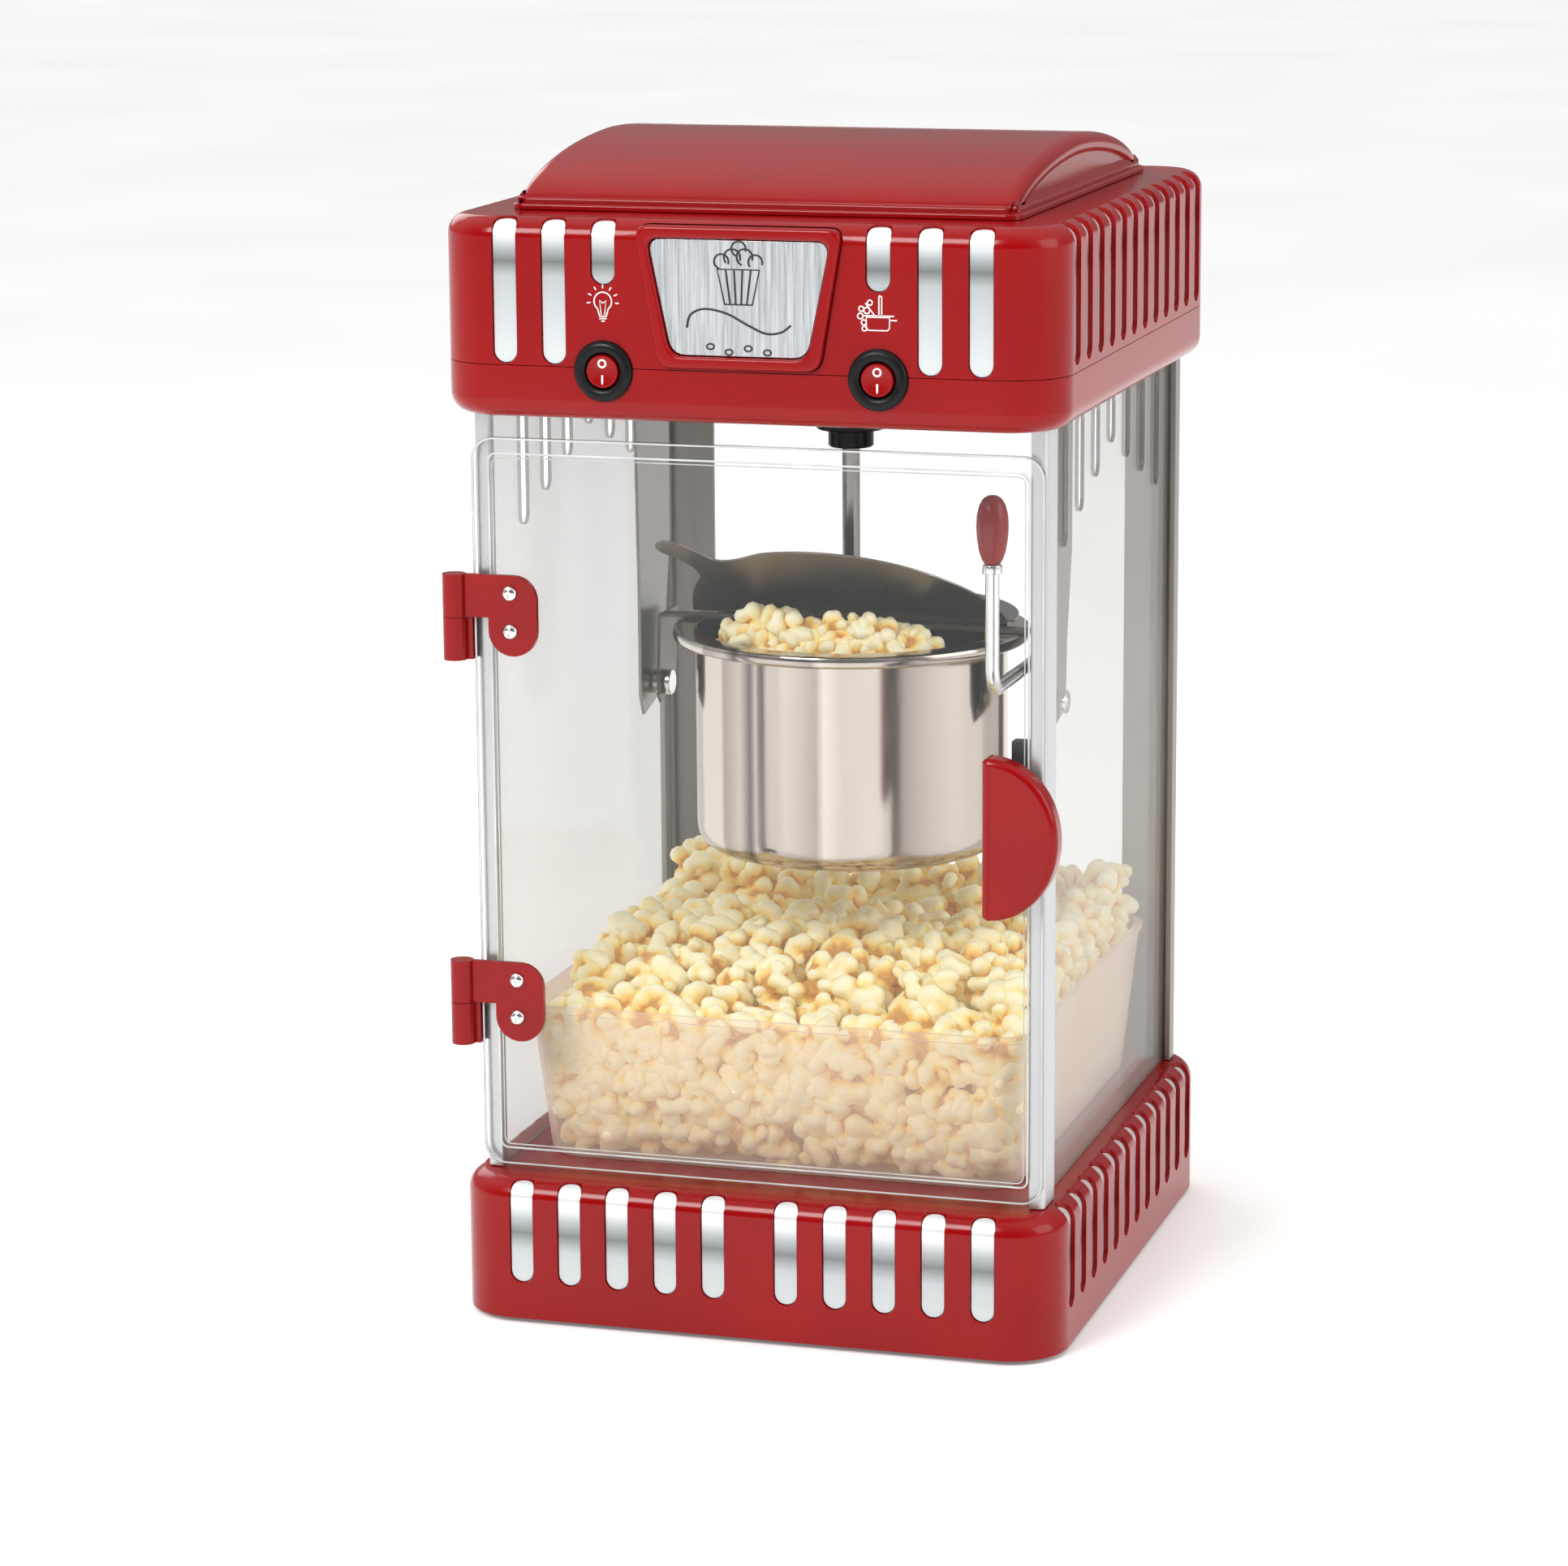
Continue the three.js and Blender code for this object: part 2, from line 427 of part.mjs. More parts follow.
// ---- door ----
function buildDoor() {
  const { w, bottom, top, r, t, back } = DOOR;
  const middle = (bottom + top) / 2;
  const sheet = (inset, y0, y1) => {
    const shape = roundedRect(w - 2 * inset, top - bottom - 2 * inset, Math.max(1, r - inset));
    return frontPlate(shape, y0, y1, 4).translate(0, 0, middle);
  };
  const panel = cut(sheet(0, back - t, back), sheet(7, back - 1.1, back + 1));
  const screwZ = (base) => [base + 12.3, base + 27.8];
  const screwX = -101.3;
  const handleAt = [104, HANDLE.z];
  const holes = [...screwZ(HINGE.upper), ...screwZ(HINGE.lower)]
    .map((z) => rod('y', 1.6, back - t - 1, back + 1, [screwX, z], 8));
  piece('door_panel', cut(panel, ...holes, rod('y', 2.2, back - t - 1, back + 1, handleAt, 10)), CLEAR);

  const face = back - t - GAP;
  for (const [name, base] of [['upper', HINGE.upper], ['lower', HINGE.lower]]) {
    const { x, y, r: radius, height, arm, pin } = HINGE;
    const split = base + 17.6;
    const head = base + height;
    const plate = new THREE.Shape();
    plate.moveTo(-110.5, head).lineTo(-100, head).absarc(-100, head - 10, 10, Math.PI / 2, 0, true);
    plate.lineTo(-90, base + 12.5).absarc(-100.2, base + 12.5, 10.2, 0, -Math.PI, true);
    const armBlock = block(x, -110, face - arm, face, split, head);
    const barrel = rod('z', radius, split, head, [x, y], 18);
    const pinHole = rod('z', pin + 0.06, base - 5, head - 2, [x, y], 18);
    const bores = screwZ(base).map((z) => rod('y', 1.7, face - 6, face + 2, [screwX, z], 8));
    const leaf = join([frontPlate(plate, face - arm, face, 6), armBlock, barrel]);
    piece(`hinge_leaf_${name}`, cut(leaf, pinHole, ...bores), RED);

    const fixedBarrel = rod('z', radius, base, split - GAP, [x, y], 18);
    const wing = block(-120.4, -117.9, y + 1, -100, base, split - GAP);
    const neck = block(x, -117.9, y + 1, y + 4, base, split - GAP);
    const fixed = cut(join([fixedBarrel, wing, neck]), rod('z', pin + 0.06, base + 2, split + 2, [x, y], 18));
    piece(`hinge_fixed_${name}`, fixed, RED);
    piece(`hinge_pin_${name}`, rod('z', pin, base + 2.3, head - 2.4, [x, y], 18), STEEL);
    screwZ(base).forEach((z, i) => {
      const shape = join([rod('y', 3, face - arm - 1.9, face - arm - GAP, [screwX, z], 12),
        rod('y', 1.4, face - arm - 1, back - 0.2, [screwX, z], 8)]);
      const cross = [block(screwX - 2, screwX + 2, face - arm - 3, face - arm - 1.2, z - 0.4, z + 0.4),
        block(screwX - 0.4, screwX + 0.4, face - arm - 3, face - arm - 1.2, z - 2, z + 2)];
      piece(`hinge_screw_${name}_${i + 1}`, cut(shape, ...cross), STEEL);
    });
  }

  const moon = new THREE.Shape();
  const hr = HANDLE.r - 2;
  const flat = HANDLE.x + 2;
  moon.moveTo(flat, HANDLE.z - hr + 1).lineTo(flat + 2, HANDLE.z - hr);
  moon.absellipse(flat - 0.6, HANDLE.z, HANDLE.reach, hr, -Math.PI / 2 + 0.1, Math.PI / 2 - 0.1);
  moon.lineTo(flat, HANDLE.z + hr - 1);
  const grip = new THREE.ExtrudeGeometry(moon, {
    depth: HANDLE.t - 4, bevelEnabled: true, bevelThickness: 2, bevelSize: 2,
    bevelSegments: 2, curveSegments: 14,
  }).rotateX(Math.PI / 2).translate(0, face - 2, 0);
  piece('door_handle', cut(grip, rod('y', 2.2, face - 5, face + 2, handleAt, 12)), RED);
  const handleScrew = join([rod('y', 3.6, back - 0.7, back + 1.4, handleAt, 16),
    rod('y', 1.9, face - 4.6, back, handleAt, 12)]);
  piece('handle_screw', handleScrew, STEEL);
  piece('door_catch', block(103.4, 110.8, FRAME.front + 0.5, FRAME.front + 7, 232, 250), BLACK);
}

// ---- tray ----
function buildTray() {
  const { w, front, rear, bottom, top, lean, wall, r } = TRAY;
  const d = rear - front;
  const tub = (inset, z0, z1) => {
    const geometry = new THREE.ExtrudeGeometry(roundedRect(w - 2 * inset, d - 2 * inset, r - inset),
      { depth: z1 - z0, bevelEnabled: false, curveSegments: 5 }).translate(0, 0, z0);
    const p = geometry.attributes.position;
    for (let i = 0; i < p.count; i += 1) {
      const k = 1 - (lean * 2 * (top - p.getZ(i))) / ((top - bottom) * w);
      p.setXY(i, p.getX(i) * k, p.getY(i) * k);
    }
    return geometry.translate(0, (front + rear) / 2, 0);
  };
  const rimBand = cut(solid(tub(-1.2, top - 3, top)), solid(tub(wall, top - 5, top + 1)));
  piece('tray', join([cut(tub(0, bottom, top), tub(wall, bottom + 2, top + 1)), rimBand]), FROSTED);
}

buildBase();
buildFrame();
buildHood();
buildFront();
buildDrive();
buildKettle();
buildLid();
buildDoor();
buildTray();
machine.add(kettle);

// the frame's origin is the middle of the footprint of everything, door hinges and cord gland included
const LEFT = HINGE.x - HINGE.r;
machine.position.set(-(LEFT + HOOD.w / 2) / 2, (PROUD - GLAND) / 2, 0);
const popcornMaker = new THREE.Group();
popcornMaker.add(machine);
popcornMaker.updateMatrixWorld(true);

export default popcornMaker;
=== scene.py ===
# Looks of the retro tabletop popcorn maker. Shapes are drawn in millimetres about the cabinet's centre,
# with the front at -Y, and PLACE brings them into the frame.
import math
import random

import bmesh
import bpy
from mathutils import Matrix, Vector


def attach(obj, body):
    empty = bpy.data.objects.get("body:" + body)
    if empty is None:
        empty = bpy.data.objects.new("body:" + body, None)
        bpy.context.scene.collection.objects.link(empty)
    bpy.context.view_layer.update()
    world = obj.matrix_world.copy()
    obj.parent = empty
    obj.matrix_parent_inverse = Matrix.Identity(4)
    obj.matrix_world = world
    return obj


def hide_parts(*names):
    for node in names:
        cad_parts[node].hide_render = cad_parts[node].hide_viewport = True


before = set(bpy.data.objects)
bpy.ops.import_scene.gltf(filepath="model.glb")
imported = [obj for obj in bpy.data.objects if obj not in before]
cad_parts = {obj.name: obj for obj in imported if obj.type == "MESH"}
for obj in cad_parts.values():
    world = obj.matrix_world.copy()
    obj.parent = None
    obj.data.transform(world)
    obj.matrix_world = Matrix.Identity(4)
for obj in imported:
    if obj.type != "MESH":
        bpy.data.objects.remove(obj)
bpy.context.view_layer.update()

PLACE = Matrix.Scale(0.001, 4) @ Matrix.Translation((1.6, -0.75, 0))
HOOD = dict(w=253.2, d=278.2, r=24.5, low=373, split=394, top=452)
BASE = dict(w=252.7, d=276.2, r=24.5, low=2, top=60)
WALL = 2.4             # housing wall
EDGE = 8               # rounding of the housings' long edges
FACE = -HOOD["d"] / 2  # front of the hood
SWITCH_X, SWITCH_Z = 55.6, 393
SLOT_FEET_BASE, SLOT_FEET_HOOD = 17.3, 397
AXLE_Y, AXLE_Z = 16, 239        # the axis that the kettle tips on
FLAP_Z, FRONT_FLAP_Y, REAR_FLAP_Y = 271.2, 12.6, 19.4    # hinge lines of the lid
TRAY_TOP, TRAY_Y, TRAY_TALL, TRAY_WIDE = 126, 2, 65.6, 214
TRAY_LEAN = 6.5                 # how far the tray's walls lean in from top to foot
HINGES = (("upper", 272.8), ("lower", 113.5))    # name and foot of each
PIN_X, PIN_Y, KNUCKLE_R = -125, -125, 4.8
SCREW_X, LEAF_BACK = -101.3, -123.3


# ---- node materials ----
def material(name, metal=0.0, rough=0.4, coat=0.0):
    m = bpy.data.materials.new(name)
    m.use_nodes = True
    shader = next(n for n in m.node_tree.nodes if n.type == "BSDF_PRINCIPLED")
    shader.inputs["Metallic"].default_value = metal
    shader.inputs["Roughness"].default_value = rough
    shader.inputs["Coat Weight"].default_value = coat
    shader.inputs["Coat Roughness"].default_value = 0.06
    return m, m.node_tree, shader


def node(tree, kind, **values):
    n = tree.nodes.new("ShaderNode" + kind)
    for key, value in values.items():
        n.inputs[key].default_value = value
    return n


def maths(tree, operation, a, b=None):
    """A maths node on one socket, and on a second socket or a number."""
    n = node(tree, "Math")
    n.operation = operation
    tree.links.new(a, n.inputs[0])
    if isinstance(b, float):
        n.inputs[1].default_value = b
    elif b:
        tree.links.new(b, n.inputs[1])
    return n.outputs["Value"]


def speckle(tree, scale, stretch=(1, 1, 1), detail=3.0):
    """Noise on object coordinates, with a stretch for brushed or drawn surfaces."""
    coord = tree.nodes.new("ShaderNodeTexCoord")
    mapping = node(tree, "Mapping", Scale=stretch)
    noise = node(tree, "TexNoise", Scale=scale, Detail=detail)
    tree.links.new(coord.outputs["Object"], mapping.inputs["Vector"])
    tree.links.new(mapping.outputs["Vector"], noise.inputs["Vector"])
    return noise.outputs["Fac"]


def ramp(tree, fac, *stops):
    n = tree.nodes.new("ShaderNodeValToRGB")
    while len(n.color_ramp.elements) < len(stops):
        n.color_ramp.elements.new(0.5)
    for element, (position, colour) in zip(n.color_ramp.elements, stops):
        element.position = position
        element.color = (*colour, 1)
    tree.links.new(fac, n.inputs["Fac"])
    return n.outputs["Color"]


def span(tree, fac, low, high, a=0.35, b=0.65):
    n = node(tree, "MapRange")
    for key, value in (("From Min", a), ("From Max", b), ("To Min", low), ("To Max", high)):
        n.inputs[key].default_value = value
    tree.links.new(fac, n.inputs["Value"])
    return n.outputs["Result"]


def relief(tree, shader, fac, strength, distance=0.001):
    n = node(tree, "Bump", Strength=strength, Distance=distance)
    tree.links.new(fac, n.inputs["Height"])
    tree.links.new(n.outputs["Normal"], shader.inputs["Normal"])


def finish(name, dark, light, scale=60, metal=0.0, rough=(0.3, 0.4), coat=0.0, bump=0.05,
           stretch=(1, 1, 1), fine=900):
    """A finish whose colour and roughness wander slightly, with a fine surface relief."""
    m, tree, shader = material(name, metal, rough[0], coat)
    broad = speckle(tree, scale, stretch)
    close = speckle(tree, fine, stretch, 2.0)
    tree.links.new(ramp(tree, broad, (0.3, dark), (0.7, light)), shader.inputs["Base Color"])
    tree.links.new(span(tree, broad, *rough), shader.inputs["Roughness"])
    relief(tree, shader, close, bump, 0.0002)
    return m, tree, shader


def steel_with_painted_reflections():
    """Polished steel of the kettle, painted with upright bands of reflection, lighter and darker, around its axis."""
    m, tree, shader = material("mirror_steel", 1.0, 0.14)
    coord = tree.nodes.new("ShaderNodeTexCoord")
    middle = node(tree, "Mapping", Location=(-0.0016, -0.01525, 0))
    around = tree.nodes.new("ShaderNodeTexGradient")
    around.gradient_type = "RADIAL"
    tree.links.new(coord.outputs["Object"], middle.inputs["Vector"])
    tree.links.new(middle.outputs["Vector"], around.inputs["Vector"])
    # The pale, warm, grey and deep bands laid around the pot are painted reflections.
    pale, warm, grey, deep = (0.60, 0.54, 0.485), (0.50, 0.44, 0.39), (0.33, 0.28, 0.25), (0.10, 0.085, 0.08)
    stops = ((0.0, warm), (0.14, pale), (0.145, grey), (0.17, warm), (0.185, deep), (0.192, pale), (0.225, warm),
             (0.258, grey), (0.266, pale), (0.285, warm), (0.33, pale), (0.345, grey), (0.41, warm),
             (0.50, pale), (0.55, warm), (0.62, pale), (0.63, grey), (0.68, warm), (0.78, pale), (0.79, grey),
             (0.86, warm))
    tree.links.new(ramp(tree, around.outputs["Fac"], *stops), shader.inputs["Base Color"])
    grain = speckle(tree, 40, (1, 1, 0.2))
    tree.links.new(span(tree, grain, 0.11, 0.18), shader.inputs["Roughness"])
    relief(tree, shader, grain, 0.03, 0.0005)
    return m


def plain_finish(*settings, shine=None, **more):
    """A finish's material alone; shine sets how strongly it mirrors when face on."""
    m, _, shader = finish(*settings, **more)
    if shine is not None:
        shader.inputs["Specular IOR Level"].default_value = shine
    return m


RED = plain_finish("red_enamel", (0.245, 0.0003, 0.001), (0.295, 0.0006, 0.002), 14, 0.0, (0.16, 0.21), 0.10, 0.006,
                   fine=500, shine=0.22)
DEEP_RED = plain_finish("red_moulding", (0.23, 0.0003, 0.001), (0.28, 0.0006, 0.002), 40, 0.0, (0.17, 0.24), 0.12,
                        0.01, shine=0.22)
STEEL = steel_with_painted_reflections()
PLAIN = plain_finish("plain_steel", (0.50, 0.49, 0.48), (0.66, 0.65, 0.64), 80, 1.0, (0.22, 0.34))
CHROME = plain_finish("bright_steel", (0.68, 0.68, 0.68), (0.80, 0.80, 0.80), 60, 1.0, (0.08, 0.14), bump=0.02)
SHAFT = plain_finish("turned_shaft", (0.20, 0.18, 0.17), (0.30, 0.28, 0.26), 60, 1.0, (0.16, 0.24), bump=0.03)
HANGER = plain_finish("pressed_steel", (0.24, 0.225, 0.21), (0.33, 0.31, 0.295), 50, 0.8, (0.28, 0.4))
FLAP = plain_finish("smoked_steel", (0.17, 0.145, 0.13), (0.27, 0.235, 0.21), 16, 0.9, (0.22, 0.34), bump=0.06)
DARK = plain_finish("browned_steel", (0.10, 0.075, 0.06), (0.22, 0.18, 0.155), 45, 0.9, (0.28, 0.45), bump=0.08)
BLACK = plain_finish("black_moulding", (0.003, 0.003, 0.004), (0.008, 0.008, 0.009), 70, 0.0, (0.26, 0.4),
                     bump=0.04, shine=0.2)
RUBBER = plain_finish("foot_rubber", (0.012, 0.012, 0.012), (0.025, 0.025, 0.024), 120, 0.0, (0.6, 0.8), bump=0.2)
WHITE = plain_finish("printed_white", (0.80, 0.79, 0.78), (0.88, 0.87, 0.86), 300, 0.0, (0.4, 0.5), bump=0.03)
INK = plain_finish("printed_black", (0.008, 0.008, 0.009), (0.02, 0.02, 0.022), 300, 0.0, (0.35, 0.5), bump=0.03)
# Pale lines for the door's edges: painted highlights.
EDGE_HIGHLIGHT = plain_finish("pale_edge_line", (0.60, 0.62, 0.62), (0.80, 0.82, 0.82), 60, 0.0, (0.15, 0.25), bump=0.03)
POST = plain_finish("drawn_aluminium", (0.52, 0.53, 0.53), (0.58, 0.59, 0.60), 30, 0.7, (0.26, 0.32), bump=0.03,
                    stretch=(6, 6, 0.2))
# The rear posts are the same aluminium as the front ones, painted darker as shade.
REAR_POST_PAINTED_SHADE = plain_finish("shaded_aluminium", (0.24, 0.22, 0.20), (0.30, 0.275, 0.25), 30, 0.6, (0.3, 0.4), bump=0.03,
                         stretch=(6, 6, 0.2))
BADGE = plain_finish("brushed_plate", (0.42, 0.44, 0.46), (0.70, 0.72, 0.74), 160, 0.9, (0.26, 0.36), bump=0.25,
                     stretch=(9, 1, 0.25))


def silver_with_painted_reflection_bands():
    """Silver sheet behind the slots, with a painted reflection over each housing's height: pale at the head, a grey
    band below it, then an even pale grey.
    """
    m, tree, shader = material("silver_inlay", 0.55, 0.3)
    coord = tree.nodes.new("ShaderNodeTexCoord")
    split = tree.nodes.new("ShaderNodeSeparateXYZ")
    tree.links.new(coord.outputs["Object"], split.inputs["Vector"])
    low = span(tree, split.outputs["Z"], 0.0, 1.0, -0.012, 0.060)
    high = span(tree, split.outputs["Z"], 0.0, 1.0, 0.395, 0.452)
    mix = tree.nodes.new("ShaderNodeMix")
    tree.links.new(maths(tree, "GREATER_THAN", split.outputs["Z"], 0.2), mix.inputs["Factor"])
    tree.links.new(low, mix.inputs["A"])
    tree.links.new(high, mix.inputs["B"])
    # These bands by height are painted reflections.
    stops = ((0.0, (0.72, 0.75, 0.76)), (0.45, (0.56, 0.60, 0.61)), (0.60, (0.50, 0.53, 0.54)),
             (0.70, (0.20, 0.21, 0.21)), (0.78, (0.42, 0.44, 0.45)), (0.88, (0.85, 0.87, 0.88)))
    tree.links.new(ramp(tree, mix.outputs["Result"], *stops), shader.inputs["Base Color"])
    grain = speckle(tree, 60, (1, 1, 0.3), 1.0)
    tree.links.new(span(tree, grain, 0.30, 0.34), shader.inputs["Roughness"])
    relief(tree, shader, grain, 0.004, 0.0001)
    return m


SILVER = silver_with_painted_reflection_bands()


def clear(name, axis, glance_reflection_tint=(0.80, 0.84, 0.86), low=0.05, high=0.75):
    """Clear acrylic: nearly invisible face on, with a painted milky reflection at a glance and painted shade on its
    edges.
    """
    m, tree, shader = material(name, 0.0, 0.08)
    coord = tree.nodes.new("ShaderNodeTexCoord")
    split = tree.nodes.new("ShaderNodeSeparateXYZ")
    tree.links.new(coord.outputs["Normal"], split.inputs["Vector"])
    facing = span(tree, maths(tree, "ABSOLUTE", split.outputs[axis]), 0.0, 1.0, 0.3, 0.8)
    glance = tree.nodes.new("ShaderNodeLayerWeight")
    glance.inputs["Blend"].default_value = 0.35
    painted_glance_reflection = span(tree, glance.outputs["Fresnel"], low, high, 0.0, 0.9)
    mix = tree.nodes.new("ShaderNodeMix")
    mix.inputs["A"].default_value = 0.72
    tree.links.new(facing, mix.inputs["Factor"])
    tree.links.new(painted_glance_reflection, mix.inputs["B"])
    tree.links.new(mix.outputs["Result"], shader.inputs["Alpha"])
    # Edge faces take a dark colour as painted shade; the other faces take the tint of the painted reflection.
    tree.links.new(ramp(tree, facing, (0.2, (0.20, 0.19, 0.18)), (0.6, glance_reflection_tint)), shader.inputs["Base Color"])
    grain = speckle(tree, 25)
    tree.links.new(span(tree, grain, 0.05, 0.10), shader.inputs["Roughness"])
    relief(tree, shader, grain, 0.02, 0.0005)
    return m


# Each pane's tint is the colour of its painted reflection; the side panes' tint is darker.
DOOR_CLEAR = clear("door_acrylic", "Y", (0.72, 0.74, 0.74), 0.015, 0.30)
SIDE_CLEAR = clear("side_acrylic", "X", (0.50, 0.475, 0.45), 0.02, 0.48)
REAR_CLEAR = clear("rear_acrylic", "Y", (0.74, 0.75, 0.75), 0.015, 0.26)


def frosted():
    """Frosted plastic of the tray: see-through face on, closing up at a glance."""
    m, tree, shader = material("frosted_tub", 0.0, 0.4)
    cloud = speckle(tree, 30)
    tree.links.new(ramp(tree, cloud, (0.3, (0.94, 0.70, 0.55)), (0.7, (0.96, 0.78, 0.65))),
                   shader.inputs["Base Color"])
    glance = tree.nodes.new("ShaderNodeLayerWeight")
    glance.inputs["Blend"].default_value = 0.4
    total = maths(tree, "ADD", span(tree, cloud, 0.16, 0.22),
                  span(tree, glance.outputs["Facing"], 0.0, 0.55, 0.3, 0.95))
    tree.links.new(total, shader.inputs["Alpha"])
    tree.links.new(span(tree, cloud, 0.35, 0.5), shader.inputs["Roughness"])
    relief(tree, shader, speckle(tree, 700), 0.06, 0.0002)
    return m


def popped():
    """Popcorn: cream on the lobes, buttery yellow to brown down in the folds, with a faint painted glow."""
    m, tree, shader = material("popcorn", 0.0, 0.55)
    fold = tree.nodes.new("ShaderNodeAttribute")
    fold.attribute_name = "fold"
    cloud = speckle(tree, 220)
    total = maths(tree, "ADD", fold.outputs["Fac"], span(tree, cloud, -0.12, 0.12))
    stops = ((0.0, (1.0, 0.93, 0.66)), (0.30, (1.0, 0.83, 0.38)), (0.68, (0.96, 0.62, 0.14)),
             (1.0, (0.62, 0.28, 0.05)))
    tree.links.new(ramp(tree, total, *stops), shader.inputs["Base Color"])
    shader.inputs["Subsurface Weight"].default_value = 0.25
    # A faint warm emission that brightens the popcorn: painted light.
    shader.inputs["Emission Color"].default_value = (1.0, 0.80, 0.42, 1)
    shader.inputs["Emission Strength"].default_value = 0.07
    shader.inputs["Subsurface Radius"].default_value = (0.004, 0.0025, 0.001)
    tree.links.new(span(tree, cloud, 0.45, 0.65), shader.inputs["Roughness"])
    relief(tree, shader, speckle(tree, 650, detail=6.0), 0.5, 0.0006)
    return m


TUB = frosted()
POPCORN = popped()


# ---- mesh helpers ----
def box_mesh(x0, x1, y0, y1, z0, z1):
    bm = bmesh.new()
    bmesh.ops.create_cube(bm, size=1)
    middle = Matrix.Translation(((x0 + x1) / 2, (y0 + y1) / 2, (z0 + z1) / 2))
    bm.transform(middle @ Matrix.Diagonal((x1 - x0, y1 - y0, z1 - z0, 1)))
    return bm


def soften(bm, edges, offset, segments):
    bmesh.ops.bevel(bm, geom=edges, offset=offset, segments=segments, profile=0.5, affect="EDGES", material=-1)


def along(edge, axis):
    a, b = (v.co for v in edge.verts)
    return abs((b - a).normalized()[axis]) > 0.999


def level(edge, value, axis=2):
    """Whether both ends of the edge are at that value on the axis."""
    return all(abs(v.co[axis] - value) < 1e-3 for v in edge.verts)


def cushion(w, d, r, z0, z1, top=0.0, low=0.0, fine=14):
    """An upright block of rounded plan whose long edges are rounded by top and low."""
    bm = box_mesh(-w / 2, w / 2, -d / 2, d / 2, z0, z1)
    soften(bm, [e for e in bm.edges if along(e, 2)], r, fine)
    for z, edge in ((z1, top), (z0, low)):
        if edge:
            soften(bm, [e for e in bm.edges if level(e, z)], edge, 8)
    return bm


def slot_tool(x0, x1, y0, y1, z0, z1, r, axis):
    """A slot cutter, round at the foot and at its inner end; it faces along axis 0 (x) or 1 (y)."""
    bm = box_mesh(x0, x1, y0, y1, z0, z1)
    soften(bm, [e for e in bm.edges if level(e, z0) and along(e, axis)], r * 0.998, 8)

    def inner(v):
        return v.co.y > y1 - 1e-3 if axis else abs(v.co.x) < min(abs(x0), abs(x1)) + 1e-3
    soften(bm, [e for e in bm.edges if along(e, 2) and all(inner(v) for v in e.verts)], r * 0.998, 8)
    return bm


def slots(body, front, front_z, side_z=None, r=5.0, depth=7.0):
    """Cutters for a housing's front slots, at their own heights, and for twelve slots on each side."""
    tools = []
    y, x = -body["d"] / 2, body["w"] / 2
    for centre, foot in zip(front, front_z):
        tools.append(slot_tool(centre - r, centre + r, y - 2, y + depth, foot + 5 - r, body["top"] + 4, r, 1))
    for k in range(12 if side_z else 0):
        middle = (k - 5.5) * 19.7
        for a, b in ((x - depth, x + 2), (-x - 2, -x + depth)):
            tools.append(slot_tool(a, b, middle - r, middle + r, side_z + 5 - r, body["top"] + 4, r, 0))
    return tools


def joined(meshes):
    """Several meshes brought together as one."""
    whole = bmesh.new()
    for bm in meshes:
        part = bpy.data.meshes.new("part")
        bm.to_mesh(part)
        bm.free()
        whole.from_mesh(part)
        bpy.data.meshes.remove(part)
    return whole


def temporary(bm):
    """An object that stands in the scene only while a boolean step needs it."""
    bmesh.ops.recalc_face_normals(bm, faces=bm.faces)
    mesh = bpy.data.meshes.new("tool")
    bm.to_mesh(mesh)
    bm.free()
    o = bpy.data.objects.new("tool", mesh)
    bpy.context.scene.collection.objects.link(o)
    return o


def settled(o):
    """The evaluated mesh of an object as a bmesh; the object is removed."""
    mesh = bpy.data.meshes.new_from_object(o.evaluated_get(bpy.context.evaluated_depsgraph_get()))
    bm = bmesh.new()
    bm.from_mesh(mesh)
    bpy.data.objects.remove(o)
    bpy.data.meshes.remove(mesh)
    return bm


CUT, ADD, KEEP = "DIFFERENCE", "UNION", "INTERSECT"


def carve(bm, *steps, solver="MANIFOLD"):
    """Boolean steps on a mesh, each of them an operation and its tool."""
    body = temporary(bm)
    tools = []
    for operation, tool in steps:
        tools.append(temporary(tool))
        mod = body.modifiers.new("cut", "BOOLEAN")
        mod.operation, mod.solver, mod.object = operation, solver, tools[-1]
    result = settled(body)
    for o in tools:
        bpy.data.objects.remove(o)
    bmesh.ops.remove_doubles(result, verts=result.verts, dist=2e-3)
    bmesh.ops.dissolve_degenerate(result, edges=result.edges, dist=2e-3)
    if solver == "MANIFOLD":
        bmesh.ops.dissolve_limit(result, angle_limit=math.radians(0.3), verts=result.verts, edges=result.edges)
    return result


def piece(name, bm, look, body, replaces=(), bevel=0.0, sharp=32, placed=True, segments=2):
    """Makes the object, smooth except at edges sharper than `sharp` degrees."""
    if placed:
        bm.transform(PLACE)
    bmesh.ops.recalc_face_normals(bm, faces=bm.faces)
    for f in bm.faces:
        f.smooth = True
    for e in bm.edges:
        e.smooth = len(e.link_faces) == 2 and e.calc_face_angle(0) < math.radians(sharp)
    mesh = bpy.data.meshes.new(name)
    bm.to_mesh(mesh)
    bm.free()
    mesh.materials.append(look)
    o = bpy.data.objects.new(name, mesh)
    bpy.context.scene.collection.objects.link(o)
    if bevel:
        mod = o.modifiers.new("edges", "BEVEL")
        mod.width, mod.segments, mod.limit_method = bevel * 0.001, segments, "ANGLE"
        mod.angle_limit, mod.harden_normals = math.radians(sharp), False
        for e in mesh.edges:
            e.use_edge_sharp = False
    mod = o.modifiers.new("normals", "WEIGHTED_NORMAL")
    mod.keep_sharp, mod.weight = not bevel, 80
    if replaces:
        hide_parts(*replaces)
    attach(o, body)
    return o


